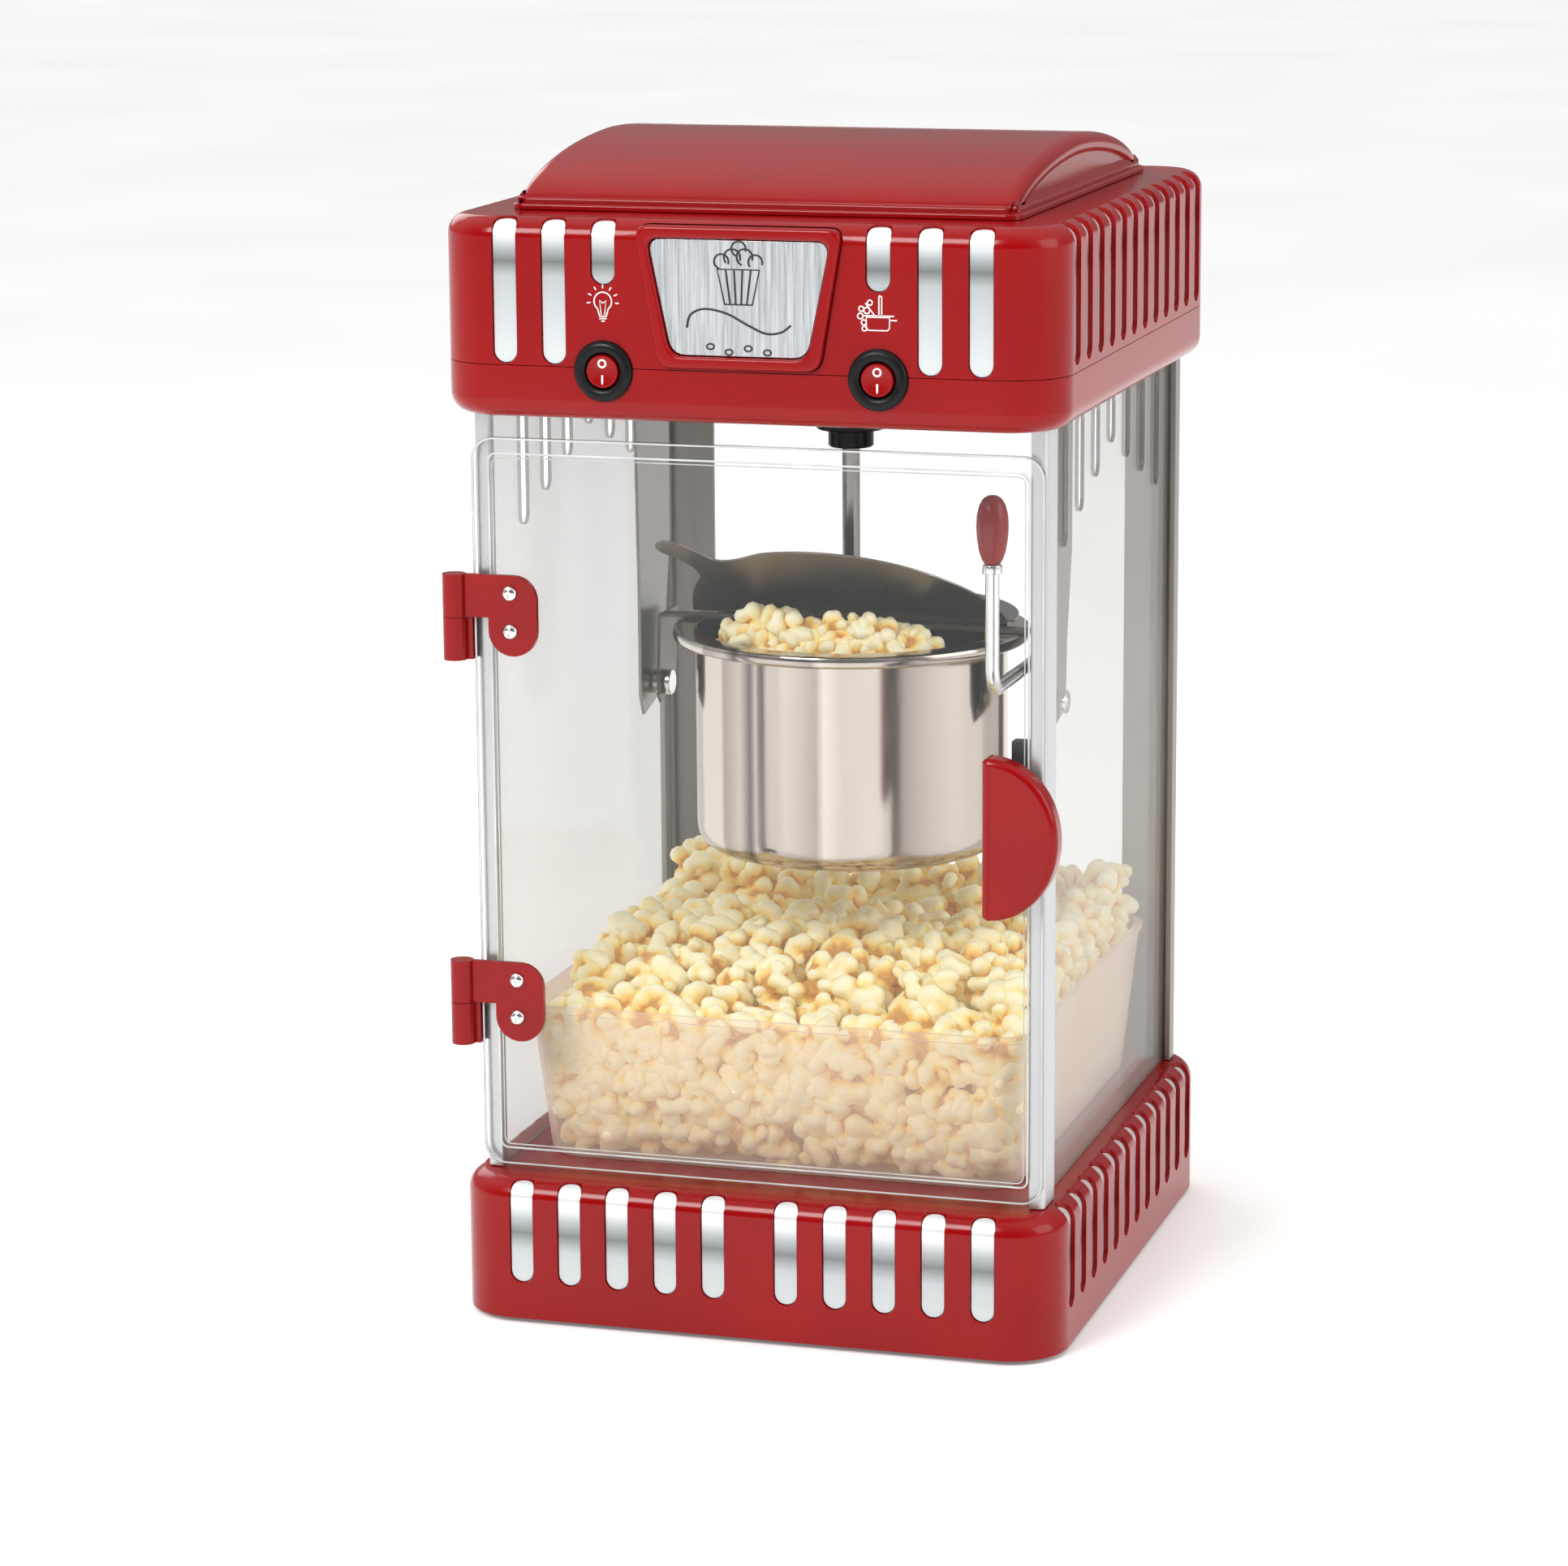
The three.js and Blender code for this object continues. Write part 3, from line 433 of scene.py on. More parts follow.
def turned(points, x=0.0, y=AXLE_Y, sides=96, axis="Z"):
    """A closed profile of (radius, station) turned about an axis: Z through (x, y), Y through (x, z)
    or X through (y, z), which are then given as x and y."""
    bm = bmesh.new()
    verts = [bm.verts.new((r, 0, z)) for r, z in points]
    edges = [bm.edges.new(pair) for pair in zip(verts, verts[1:] + verts[:1])
             if pair[0].co.x > 1e-6 or pair[1].co.x > 1e-6]
    bmesh.ops.spin(bm, geom=verts + edges, cent=(0, 0, 0), axis=(0, 0, 1), angle=math.tau, steps=sides,
                   use_merge=True)
    bmesh.ops.remove_doubles(bm, verts=bm.verts, dist=1e-4)
    if axis == "Z":
        bm.transform(Matrix.Translation((x, y, 0)))
    elif axis == "Y":
        bm.transform(Matrix.Translation((x, 0, y)) @ Matrix.Rotation(-math.pi / 2, 4, "X"))
    else:
        bm.transform(Matrix.Translation((0, x, y)) @ Matrix.Rotation(math.pi / 2, 4, "Y"))
    return bm


def plate(points, axis, a, b):
    """A flat outline pushed along an axis: 'Y' takes (x, z) points, 'X' (y, z) and 'Z' (x, y)."""
    make = {"Y": lambda p: (p[0], a, p[1]), "X": lambda p: (a, p[0], p[1]), "Z": lambda p: (p[0], p[1], a)}[axis]
    step = Vector({"Y": (0, b - a, 0), "X": (b - a, 0, 0), "Z": (0, 0, b - a)}[axis])
    bm = bmesh.new()
    face = bm.faces.new([bm.verts.new(make(p)) for p in points])
    grown = bmesh.ops.extrude_face_region(bm, geom=[face], use_keep_orig=True)
    bmesh.ops.translate(bm, vec=step, verts=[v for v in grown["geom"] if isinstance(v, bmesh.types.BMVert)])
    bmesh.ops.recalc_face_normals(bm, faces=bm.faces)
    return bm


def refined(names, look, body, bevel=0.35, sharp=30, own=None):
    """A CAD node's shape copied, merged and given small rounded edges."""
    for name in [names] if isinstance(names, str) else names:
        bm = bmesh.new()
        bm.from_mesh(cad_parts[name].data)
        bmesh.ops.remove_doubles(bm, verts=bm.verts, dist=2e-6)
        bmesh.ops.dissolve_limit(bm, angle_limit=math.radians(0.5), verts=bm.verts, edges=bm.edges)
        piece((own or name) + "_finished", bm, look, body, [name], bevel, sharp, placed=False)


def strokes(lines, width, y, thick=0.25):
    """Line drawing on the front: lines are (closed, [(x, z), ...]) and become thin raised strokes."""
    curve = bpy.data.curves.new("lines", "CURVE")
    curve.dimensions, curve.bevel_depth, curve.bevel_resolution, curve.use_fill_caps = "3D", width, 1, True
    for closed, points in lines:
        spline = curve.splines.new("POLY")
        spline.points.add(len(points) - 1)
        for target, (px, pz) in zip(spline.points, points):
            target.co = (px, 0, pz, 1)
        spline.use_cyclic_u = closed
    o = bpy.data.objects.new("lines", curve)
    bpy.context.scene.collection.objects.link(o)
    bm = settled(o)
    bpy.data.curves.remove(curve)
    bm.transform(Matrix.Translation((0, y, 0)) @ Matrix.Diagonal((1, thick / width, 1, 1)))
    return bm


def rod(r, a, b, x, y, sides, axis="Y"):
    """A plain round bar from a to b, for holes and knuckles."""
    return turned([(0, a), (r, a), (r, b), (0, b)], x, y, sides, axis)


def ring(x, z, r, start=0, end=360, count=24, rz=None):
    """Points on a circle or part of one, in degrees; rz makes it an ellipse."""
    steps = [math.radians(start + (end - start) * k / count) for k in range(count + (end - start < 360))]
    return [(x + r * math.cos(a), z + (rz or r) * math.sin(a)) for a in steps]


# ---- housings ----
def room(body, gap, z0, z1, top, low=0.0):
    """The housing's block, smaller by gap all round."""
    return cushion(body["w"] - 2 * gap, body["d"] - 2 * gap, body["r"] - gap, z0, z1, top, low)


def inlays(name, body, cutters, gap, low, bevel):
    """Silver bars that fill the slots, set back from the red by gap."""
    bars = carve(joined(cutters), (KEEP, room(body, gap, low, body["top"] - gap, EDGE - gap)))
    piece(name, bars, SILVER, "cabinet", (), bevel)


def switch_holes():
    return [rod(10.4, -160, -120, s * SWITCH_X, SWITCH_Z, 40) for s in (-1, 1)]


def housings():
    b, h = BASE, HOOD
    liner, sheet_wall = WALL + 0.3, 1.2
    bar = (4.6, 6.4)    # half width and depth of an inlay
    fronts = [s * k * 20.4 for s in (-1, 1) for k in (0.75, 1.75, 2.75, 3.75, 4.75)]
    feet = [SLOT_FEET_BASE] * len(fronts)

    base = carve(room(b, 0, b["low"], b["top"], EDGE),
                 (CUT, room(b, WALL, -12, b["top"] - WALL, EDGE - WALL)),
                 (CUT, joined(slots(b, fronts, feet, SLOT_FEET_BASE))))
    piece("base_shell", base, RED, "cabinet", ["base_housing"], 0.45)
    sheet = carve(room(b, liner, 8, b["top"] - liner, EDGE - liner),
                  (CUT, room(b, liner + sheet_wall, 6, 56, 4)))
    piece("base_silver", sheet, SILVER, "cabinet", ["base_liner"])
    inlays("base_inlays", b, slots(b, fronts, feet, None, *bar), 0.9, 5, 0.4)
    inlays("base_side_inlays", b, slots(b, (), (), SLOT_FEET_BASE, *bar), 1.8, 5, 0.3)

    fronts = [-96.2, -76, 76, 96.2, -55.5, 55.5]    # four long slots and the two short ones over the switches
    feet = [394.8] * 4 + [426.5] * 2
    badge = plate(badge_outline(0.3), "Y", FACE - 6, FACE + 9)
    upper = carve(room(h, 0, h["split"] + 0.3, h["top"], EDGE),
                  (CUT, room(h, WALL, 385, h["top"] - WALL, EDGE - WALL)),
                  (CUT, joined(slots(h, fronts, feet, SLOT_FEET_HOOD) + switch_holes())),
                  (CUT, badge))
    piece("hood_shell", upper, RED, "cabinet", ["hood_upper_housing"], 0.45)
    gland = rod(4.3, 120, 160, -70, 384, 24)
    lower = carve(room(h, 0, h["low"], h["split"], 0, EDGE),
                  (CUT, room(h, WALL, h["low"] + WALL, 400, 0, EDGE - WALL)),
                  (CUT, cushion(226, 252, 12, 368, 378)),
                  (CUT, joined(switch_holes() + [gland])), solver="EXACT")
    piece("hood_rim", lower, RED, "cabinet", ["hood_lower_rim"])
    windows = [box_mesh(-69, 69, -160, -100, 300, 424), box_mesh(-46, 46, -160, -100, 430, 470)]
    sheet = carve(room(h, liner, 395, h["top"] - liner, EDGE - liner),
                  (CUT, room(h, liner + sheet_wall, 390, h["top"] - liner - sheet_wall, 4)),
                  (CUT, joined(windows)))
    piece("hood_silver", sheet, SILVER, "cabinet", ["hood_liner"])
    inlays("hood_inlays", h, slots(h, fronts, feet, None, *bar), 0.9, 395, 0.4)
    inlays("hood_side_inlays", h, slots(h, (), (), SLOT_FEET_HOOD, *bar), 1.8, 395, 0.3)


def badge_outline(grow, fine=5):
    """The badge's tapered outline with rounded corners, as (x, z)."""
    top, low, z0, z1, r = 42 + grow, 32.5 + grow, 395.2 - grow, 450.4 + grow, 6
    lean = (top - low) / (z1 - z0)
    corners = [((low - r, z0), (low, z0), (low + lean * r, z0 + r)),
               ((top - lean * r, z1 - r), (top, z1), (top - r, z1))]
    right = []
    for a, b, c in corners:
        for k in range(fine + 1):
            t = k / fine
            right.append(tuple((1 - t) ** 2 * a[i] + 2 * t * (1 - t) * b[i] + t * t * c[i] for i in (0, 1)))
    return right + [(-x, z) for x, z in reversed(right)]


def roof():
    half, foot, crown, width = 106, 456.2, 476.2, 203
    arch = [(-half, 455.5)]
    for i in range(57):
        y = -half * math.cos(math.pi * i / 56)
        arch.append((y, foot + (crown - foot) * max(0.0, 1 - abs(y / half) ** 1.75) ** (1 / 1.75)))
    arch.append((half, 455.5))
    bm = plate(arch, "X", -width / 2, width / 2)
    rims = [e for e in bm.edges if abs(e.verts[0].co.x - e.verts[1].co.x) < 1e-3
            and min(v.co.z for v in e.verts) > 457]
    soften(bm, rims, 5, 6)
    for side in (-1, 1):
        end = max((f for f in bm.faces if f.normal.x * side > 0.99), key=lambda f: f.calc_area())
        bmesh.ops.inset_region(bm, faces=[end], thickness=2.2, depth=0.0, use_even_offset=True)
        bmesh.ops.inset_region(bm, faces=[end], thickness=1.4, depth=-1.6, use_even_offset=True)
    piece("roof_barrel", bm, RED, "cabinet", ["roof"], 0, 50)
    lower = cushion(width + 5, 220, 6, 452.3, 454.5, 1.0)
    piece("roof_plinth", lower, RED, "cabinet", (), 0, 40)
    upper = cushion(width + 1.6, 215, 5, 454.2, 456.9, 1.2)
    piece("roof_step", upper, RED, "cabinet", (), 0, 40)


# ---- badge, switches and printed marks ----
def smooth_line(points, count=14):
    """A smooth line through the given points."""
    p = [points[0]] + points + [points[-1]]
    out = []
    for i in range(1, len(p) - 2):
        for k in range(count):
            t = k / count
            out.append(tuple(0.5 * (2 * p[i][c] + (p[i + 1][c] - p[i - 1][c]) * t
                       + (2 * p[i - 1][c] - 5 * p[i][c] + 4 * p[i + 1][c] - p[i + 2][c]) * t * t
                       + (3 * p[i][c] - p[i - 1][c] - 3 * p[i + 1][c] + p[i + 2][c]) * t ** 3) for c in (0, 1)))
    return out + [points[-1]]


def drawing(name, lines, width, y, look=WHITE, body="cabinet", thick=0.25):
    piece(name, strokes(lines, width, y, thick), look, body, (), 0, 60)


def badge():
    y0, y1 = FACE - 3, FACE + 4
    walls = []
    for grow in (0, -4.7):
        bm = plate(badge_outline(grow), "Y", y0, y1)
        bmesh.ops.delete(bm, geom=[f for f in bm.faces if abs(f.normal.y) > 0.9], context="FACES_ONLY")
        walls.append(bm)
    bmesh.ops.reverse_faces(walls[1], faces=walls[1].faces)
    rim = joined(walls)
    for y in (y0, y1):
        edges = [e for e in rim.edges if e.is_boundary and abs(e.verts[0].co.y - y) < 1e-3]
        bmesh.ops.bridge_loops(rim, edges=edges)
    piece("badge_surround", rim, RED, "cabinet", ["badge_bezel"], 1.5, 40, segments=4)
    card = plate(badge_outline(-5.0), "Y", FACE - 1.0, FACE + 1.7)
    piece("badge_brushed_plate", card, BADGE, "cabinet", ["badge_plate"], 0.5, 40)

    y = FACE - 1.05
    tub = [(-8.5, 434), (8.5, 434), (5.6, 420.5), (-5.6, 420.5)]
    stripes = [(False, [(-8.5 + 17 * k / 5, 434), (-5.6 + 11.2 * k / 5, 420.5)]) for k in (1, 2, 3, 4)]
    fluff = ((-6.8, 437, 2.9), (-2.4, 438.6, 3.3), (2.6, 438.8, 3.2), (6.9, 437, 2.8), (0.2, 442, 2.9))
    loops = [(False, ring(x, z, r, -20, 250 - 30 * (i % 2), 18)) for i, (x, z, r) in enumerate(fluff)]
    drawing("badge_line_art", [(True, tub)] + stripes + loops, 0.42, y, INK)
    swash = [(-21, 411), (-19.5, 416), (-14, 418.5), (-5, 417), (4, 412.5), (11, 409.6), (17, 410.2), (21, 413)]
    drawing("badge_swash", [(False, smooth_line(swash))], 0.5, y, INK)
    grains = ((-11.5, 404), (-4, 402), (3.8, 403.6), (11.5, 402.2))
    drawing("badge_grains", [(True, ring(x, z, 1.5, 0, 360, 12, 1.1)) for x, z in grains], 0.4, y, INK)


def switches():
    for name, s in (("left", -1), ("right", 1)):
        x, z = s * SWITCH_X, SWITCH_Z
        profile = [(7.1, FACE + 12), (7.1, FACE - 1.1), (7.5, FACE - 1.9), (8.4, FACE - 2.4), (9.6, FACE - 2.6),
                   (10.8, FACE - 2.3), (11.6, FACE - 1.6), (12, FACE - 0.6), (12, FACE), (10, FACE), (10, FACE + 12)]
        piece("switch_ring_" + name, turned(profile, x, z, 72, "Y"), BLACK, "cabinet",
              ["switch_bezel_" + name], 0, 50)
        cap = turned([(0, FACE - 1.7), (3.5, FACE - 1.8), (5.6, FACE - 2.15), (6.25, FACE - 2.1), (6.6, FACE - 1.6),
                      (6.6, FACE + 4), (0, FACE + 4)], x, z, 64, "Y")
        piece("switch_cap_" + name, cap, DEEP_RED, "rocker_" + name, ["switch_rocker_" + name], 0, 50)
        marks = [(True, ring(x, z + 3.1, 1.45)), (False, [(x, z - 1.4), (x, z - 5)])]
        drawing("switch_marks_" + name, marks, 0.42, FACE - 1.85, body="rocker_" + name, thick=0.3)


def printed_marks():
    """A lamp over the left switch and a kettle over the right one."""
    x, z = -55.5, 419
    bulb = ring(x, z + 1.2, 3.6, -52, 232, 22)
    lines = [(False, [(x - 1.5, z - 4.2)] + bulb[::-1] + [(x + 1.5, z - 4.2)]),
             (False, [(x - 1.6, z - 4.6), (x + 1.6, z - 4.6)]), (False, [(x - 1.5, z - 5.5), (x + 1.5, z - 5.5)]),
             (False, [(x - 0.7, z - 6.5), (x + 0.7, z - 6.5)]),
             (False, [(x - 0.7, z - 4), (x - 1.3, z + 1.5), (x, z + 0.5), (x + 1.3, z + 1.5), (x + 0.7, z - 4)])]
    for k in range(7):
        a = math.radians(90 + (k - 3) * 32)
        lines.append((False, [(x + r * math.cos(a), z + 1.2 + r * math.sin(a)) for r in (5.1, 6.6)]))
    drawing("lamp_mark", lines, 0.28, FACE - 0.05)

    x, z = 55.5, 414
    pan = [(x - 4.6, z + 3), (x - 4.6, z - 1), (x - 3.8, z - 2), (x + 3.8, z - 2), (x + 4.6, z - 1), (x + 4.6, z + 3)]
    lines = [(True, pan), (False, [(x - 6, z + 3.6), (x + 6.4, z + 3.6)]),
             (False, [(x + 5, z + 2), (x + 7.6, z + 2)]),
             (False, [(x - 1.5, z + 4), (x - 5, z + 8.4)]), (False, [(x + 0.4, z + 4.2), (x + 0.4, z + 11)]),
             (False, [(x + 1.5, z + 4.2), (x + 1.5, z + 11), (x + 0.4, z + 11.4)])]
    for dx, dz, r in ((-5.6, 1, 1), (-7, 3.4, 1.1), (-6.6, 6.2, 1), (-4.4, 5.6, 1.2), (-3.2, 8.6, 1),
                      (-5.4, -1.4, 0.9)):
        lines.append((True, ring(x + dx, z + dz, r, 0, 360, 12)))
    drawing("kettle_mark", lines, 0.28, FACE - 0.05)


# ---- door, hinges and handle ----
def screw_heights(base):
    return base + 12.3, base + 27.8


def door():
    half, foot, head = 117.5, 62.6, 362.8

    def sheet(inset, y0, y1, r):
        bm = box_mesh(-half + inset, half - inset, y0, y1, foot + inset, head - inset)
        soften(bm, [e for e in bm.edges if along(e, 1)], r, 10)
        return bm
    holes = [rod(1.6, -128, -110, SCREW_X, z, 16) for _, base in HINGES for z in screw_heights(base)]
    holes.append(rod(2.2, -128, -110, 104, 212.6, 20))
    bm = carve(sheet(0, -123, -120, 9), (CUT, sheet(7, -121.1, -119, 4)), (CUT, joined(holes)))
    piece("door_glazing", bm, DOOR_CLEAR, "door", ["door_panel"], 0.35, 30)
    # Pale lines along the door's outer edge and round the edge of its recess: painted highlights.
    for inset, width in ((0.5, 0.35), (6.6, 0.4), (8.2, 0.25)):
        r = max(3, 9 - inset)
        x, z0, z1 = half - inset - r, foot + inset + r, head - inset - r
        path = []
        for cx, cz, turn in ((x, z1, 0), (-x, z1, 90), (-x, z0, 180), (x, z0, 270)):
            path += ring(cx, cz, r, turn, turn + 90, 8)
        bm = strokes([(True, path)], width, -122.6 if inset < 1 else -121.0, 0.3)
        piece("door_line_%d" % round(inset * 10), bm, EDGE_HIGHLIGHT, "door", (), 0, 60)


def hinges():
    face = LEAF_BACK
    for name, base in HINGES:
        split, head = base + 17.6, base + 35
        rim = [(-110.5, head), (-110.5, base + 12.5)]
        rim += ring(-100.25, base + 12.5, 10.25, 180, 360, 20)[1:]
        rim += ring(-100, head - 10, 10, 0, 90, 12)
        leaf = plate(rim, "Y", face - 2.4, face)
        arm = box_mesh(-125, -110, face - 2.4, face, split, head)
        barrel = rod(KNUCKLE_R, split, head, PIN_X, PIN_Y, 40, "Z")
        hole = rod(1.96, base - 5, head - 2, PIN_X, PIN_Y, 24, "Z")
        leaf = carve(leaf, (ADD, arm), (ADD, barrel), (CUT, hole), solver="EXACT")
        piece("hinge_plate_" + name, leaf, DEEP_RED, "door", ["hinge_leaf_" + name], 0.5, 34)
        fixed = rod(KNUCKLE_R, base, split - 0.3, PIN_X, PIN_Y, 40, "Z")
        wing = box_mesh(-120.4, -117.9, -124, -100, base, split - 0.3)
        neck = box_mesh(-125, -117.9, -124, -121, base, split - 0.3)
        hole = rod(1.96, base + 2, split + 2, PIN_X, PIN_Y, 24, "Z")
        fixed = carve(fixed, (ADD, wing), (ADD, neck), (CUT, hole), solver="EXACT")
        piece("hinge_knuckle_" + name, fixed, DEEP_RED, "cabinet", ["hinge_fixed_" + name], 0.45, 34)
        refined("hinge_pin_" + name, PLAIN, "cabinet", 0.1)
        for i, z in enumerate(screw_heights(base)):
            top = face - 4.3
            screw = turned([(0, top), (1.4, top + 0.1), (2.4, top + 0.5), (3, top + 1.2), (3, face - 2.7),
                            (1.4, face - 2.7), (1.4, -120.3), (0, -120.3)], SCREW_X, z, 40, "Y")
            cross = [(CUT, box_mesh(SCREW_X - long, SCREW_X + long, top - 1, top + 0.9, z - high, z + high))
                     for long, high in ((1.9, 0.38), (0.38, 1.9))]
            screw = carve(screw, *cross)
            piece("screw_%s_%d" % (name, i + 1), screw, CHROME, "door", ["hinge_screw_%s_%d" % (name, i + 1)],
                  0.12, 34)


def handle():
    face = LEAF_BACK
    moon = [(94.6, 181.2)]
    for k in range(41):
        a = math.radians(-88 + 176 * k / 40)
        moon.append((95.6 + 29.5 * math.cos(a) ** 0.96, 212.6 + 32.7 * math.sin(a)))
    moon.append((94.6, 244.0))
    bm = plate(moon, "Y", face - 9.5, face)
    soften(bm, [e for e in bm.edges if level(e, face - 9.5, 1)], 3.0, 8)
    piece("handle_grip", bm, RED, "door", ["door_handle"], 0.5, 50)
    bm = turned([(0, -117.9), (2.2, -118), (3.3, -118.5), (3.6, -119.5), (1.9, -119.5), (1.9, -126), (0, -126)],
                104, 212.6, 40, "Y")
    piece("handle_fixing", bm, CHROME, "door", ["handle_screw"], 0, 40)


# ---- kettle, lid, lever and shaft ----
def pin(side, radius, a, b, chamfer=0.4):
    """A round bar on the tipping axis, from a to b out from the middle, with chamfered ends."""
    a, b = sorted((side * a, side * b))
    return turned([(0, a), (radius - chamfer, a), (radius, a + chamfer), (radius, b - chamfer),
                   (radius - chamfer, b), (0, b)], AXLE_Y, AXLE_Z, 48, "X")


def bent_rod(x, path, radius):
    """A round rod along (y, z) points, its rings turned halfway at every bend."""
    bm = bmesh.new()
    bmesh.ops.create_circle(bm, cap_ends=True, radius=radius, segments=28)
    bm.transform(Matrix.Translation((x, *path[0])) @ Matrix.Rotation(math.pi / 2, 4, "X"))
    face, facing = bm.faces[:], None
    for i, (a, b) in enumerate(zip(path, path[1:]), 1):
        grown = bmesh.ops.extrude_face_region(bm, geom=face)["geom"]
        if i > 1:
            bmesh.ops.delete(bm, geom=[f for f in face if f.is_valid], context="FACES_ONLY")
        face = [f for f in grown if isinstance(f, bmesh.types.BMFace)]
        before = Vector((0, b[0] - a[0], b[1] - a[1])).normalized()
        after = Vector((0, path[i + 1][0] - b[0], path[i + 1][1] - b[1])).normalized() if i + 1 < len(path) else before
        heading = (before + after).normalized()
        turn = (before if facing is None else facing).rotation_difference(heading).to_matrix()
        facing = heading
        for v in grown:
            if isinstance(v, bmesh.types.BMVert):
                v.co = Vector((x, *b)) + turn @ (v.co - Vector((x, *a)))
    return bm


def kettle():
    bottom, lip, top, r, rim = 174, 262.5, 267.5, 66, 75.5
    outer = [(0, bottom), (r - 10, bottom), (r - 5.5, bottom + 0.9), (r - 2.4, bottom + 3.0), (r - 0.6, bottom + 6.2),
             (r, bottom + 10), (r, 214), (r, lip - 1.2), (r + 0.4, lip - 0.3), (r + 1.2, lip)]
    roll = [(rim - 1.6, lip), (rim - 0.6, lip + 0.4), (rim, lip + 1.4), (rim, top - 1.6), (rim - 0.5, top - 0.5),
            (rim - 1.6, top)]
    inner = [(r - 0.6, top), (r - 1.2, top - 0.8), (r - 1.2, bottom + 10), (r - 2.4, bottom + 5.4),
             (r - 5, bottom + 2.4), (r - 10, bottom + 1.2), (0, bottom + 1.2)]
    pot = turned(outer + roll + inner, sides=128)
    piece("kettle_body", pot, STEEL, "kettle", ["kettle_pot"], 0, 40)
    heater = [(0, bottom + 1.5), (51, bottom + 1.5), (52, bottom + 2.2), (52, bottom + 4.2), (50.8, bottom + 5),
              (0, bottom + 5)]
    heater = turned(heater, sides=72)
    piece("heater_plate", heater, DARK, "kettle", ["kettle_heater"], 0, 40)
    refined("kettle_bridge", DARK, "kettle", 0.25)
    for name, s in (("left", -1), ("right", 1)):
        bm = carve(pin(s, 3, 79.7, 94), (ADD, pin(s, 5.3, 84.3, 87.4)), (ADD, pin(s, 4.9, 90, 93.6)),
                   (ADD, pin(s, 5.4, 79.7, 82.4)))
        piece("pivot_" + name, bm, CHROME, "kettle", ["pivot_pin_" + name], 0, 34)

    x, bend = 80.5, 9.4
    path = [(12, 257), (-50, 257)]
    for k in range(1, 10):
        a = math.radians(9 * k)
        path.append((-50 - bend * math.sin(a), 257 + bend - bend * math.cos(a)))
    path += [(-59.9, 266.4), (-59.9, 308.9)]
    flat = box_mesh(x + 1.9, x + 9, 0, 14, 240, 270)    # planed off where the rod meets the bracket
    bm = carve(bent_rod(x, path, 2.85), (CUT, flat))
    piece("lever_bar", bm, CHROME, "kettle", ["lever_rod"], 0, 45)
    knob = [(0, 309.3), (2.6, 309.3), (3.4, 309.8), (4.4, 311.6), (5.5, 315), (6.3, 320), (6.6, 325), (6.3, 329.5),
            (5.3, 333.4), (3.8, 335.9), (2.0, 337.1), (0, 337.5)]
    piece("lever_grip", turned(knob, x, -60, 64), DEEP_RED, "kettle", ["lever_knob"], 0, 60)
    collar = turned([(0, 305.5), (3.7, 305.5), (4.1, 306), (4.1, 308.7), (3.7, 309.2), (0, 309.2)], x, -60, 40)
    piece("lever_collar", collar, CHROME, "kettle", (), 0, 40)
    refined("stirring_shaft", SHAFT, "stirrer", 0.25, own="stirrer_rod")


def flap(points, y, raised):
    """A lid flap: a flat outline about its hinge line, raised and set on the bridge."""
    bm = plate(points, "Z", 0, 0.9)
    bm.transform(Matrix.Translation((0, y, FLAP_Z)) @ Matrix.Rotation(-math.radians(raised), 4, "X"))
    return bm


def lid():
    rear = ring(0, 0, 69.5, 0, 180, 72) + [(-9.5, 0), (-9.5, 5.5), (9.5, 5.5), (9.5, 0)]
    piece("rear_flap", flap(rear, REAR_FLAP_Y, 0), FLAP, "lid_rear", ["lid_flap_rear"], 0.2, 50)
    edge = [(66, 0)] + ring(0, 0, 69.5, -2.3, -108.9, 60)
    for a, b, c in (((-31, -61), (-37, -55), (-44, -57)), ((-48, -60), (-54, -78), (-62, -75)),
                    ((-70, -70), (-66, -62), (-60, -58)), ((-55, -48), (-53, -42), (-57, -35)),
                    ((-62, -26), (-66, -14), (-69, 0))):
        start = edge[-1]
        for k in range(1, 11):
            t = k / 10
            edge.append(tuple((1 - t) ** 3 * start[i] + 3 * t * (1 - t) ** 2 * a[i] + 3 * t * t * (1 - t) * b[i]
                              + t ** 3 * c[i] for i in (0, 1)))
    edge += [(-9.5, 0), (-9.5, -5.5), (9.5, -5.5), (9.5, 0)]
    piece("front_flap", flap(edge, FRONT_FLAP_Y, 32), FLAP, "lid_front", ["lid_flap_front"], 0.2, 50)


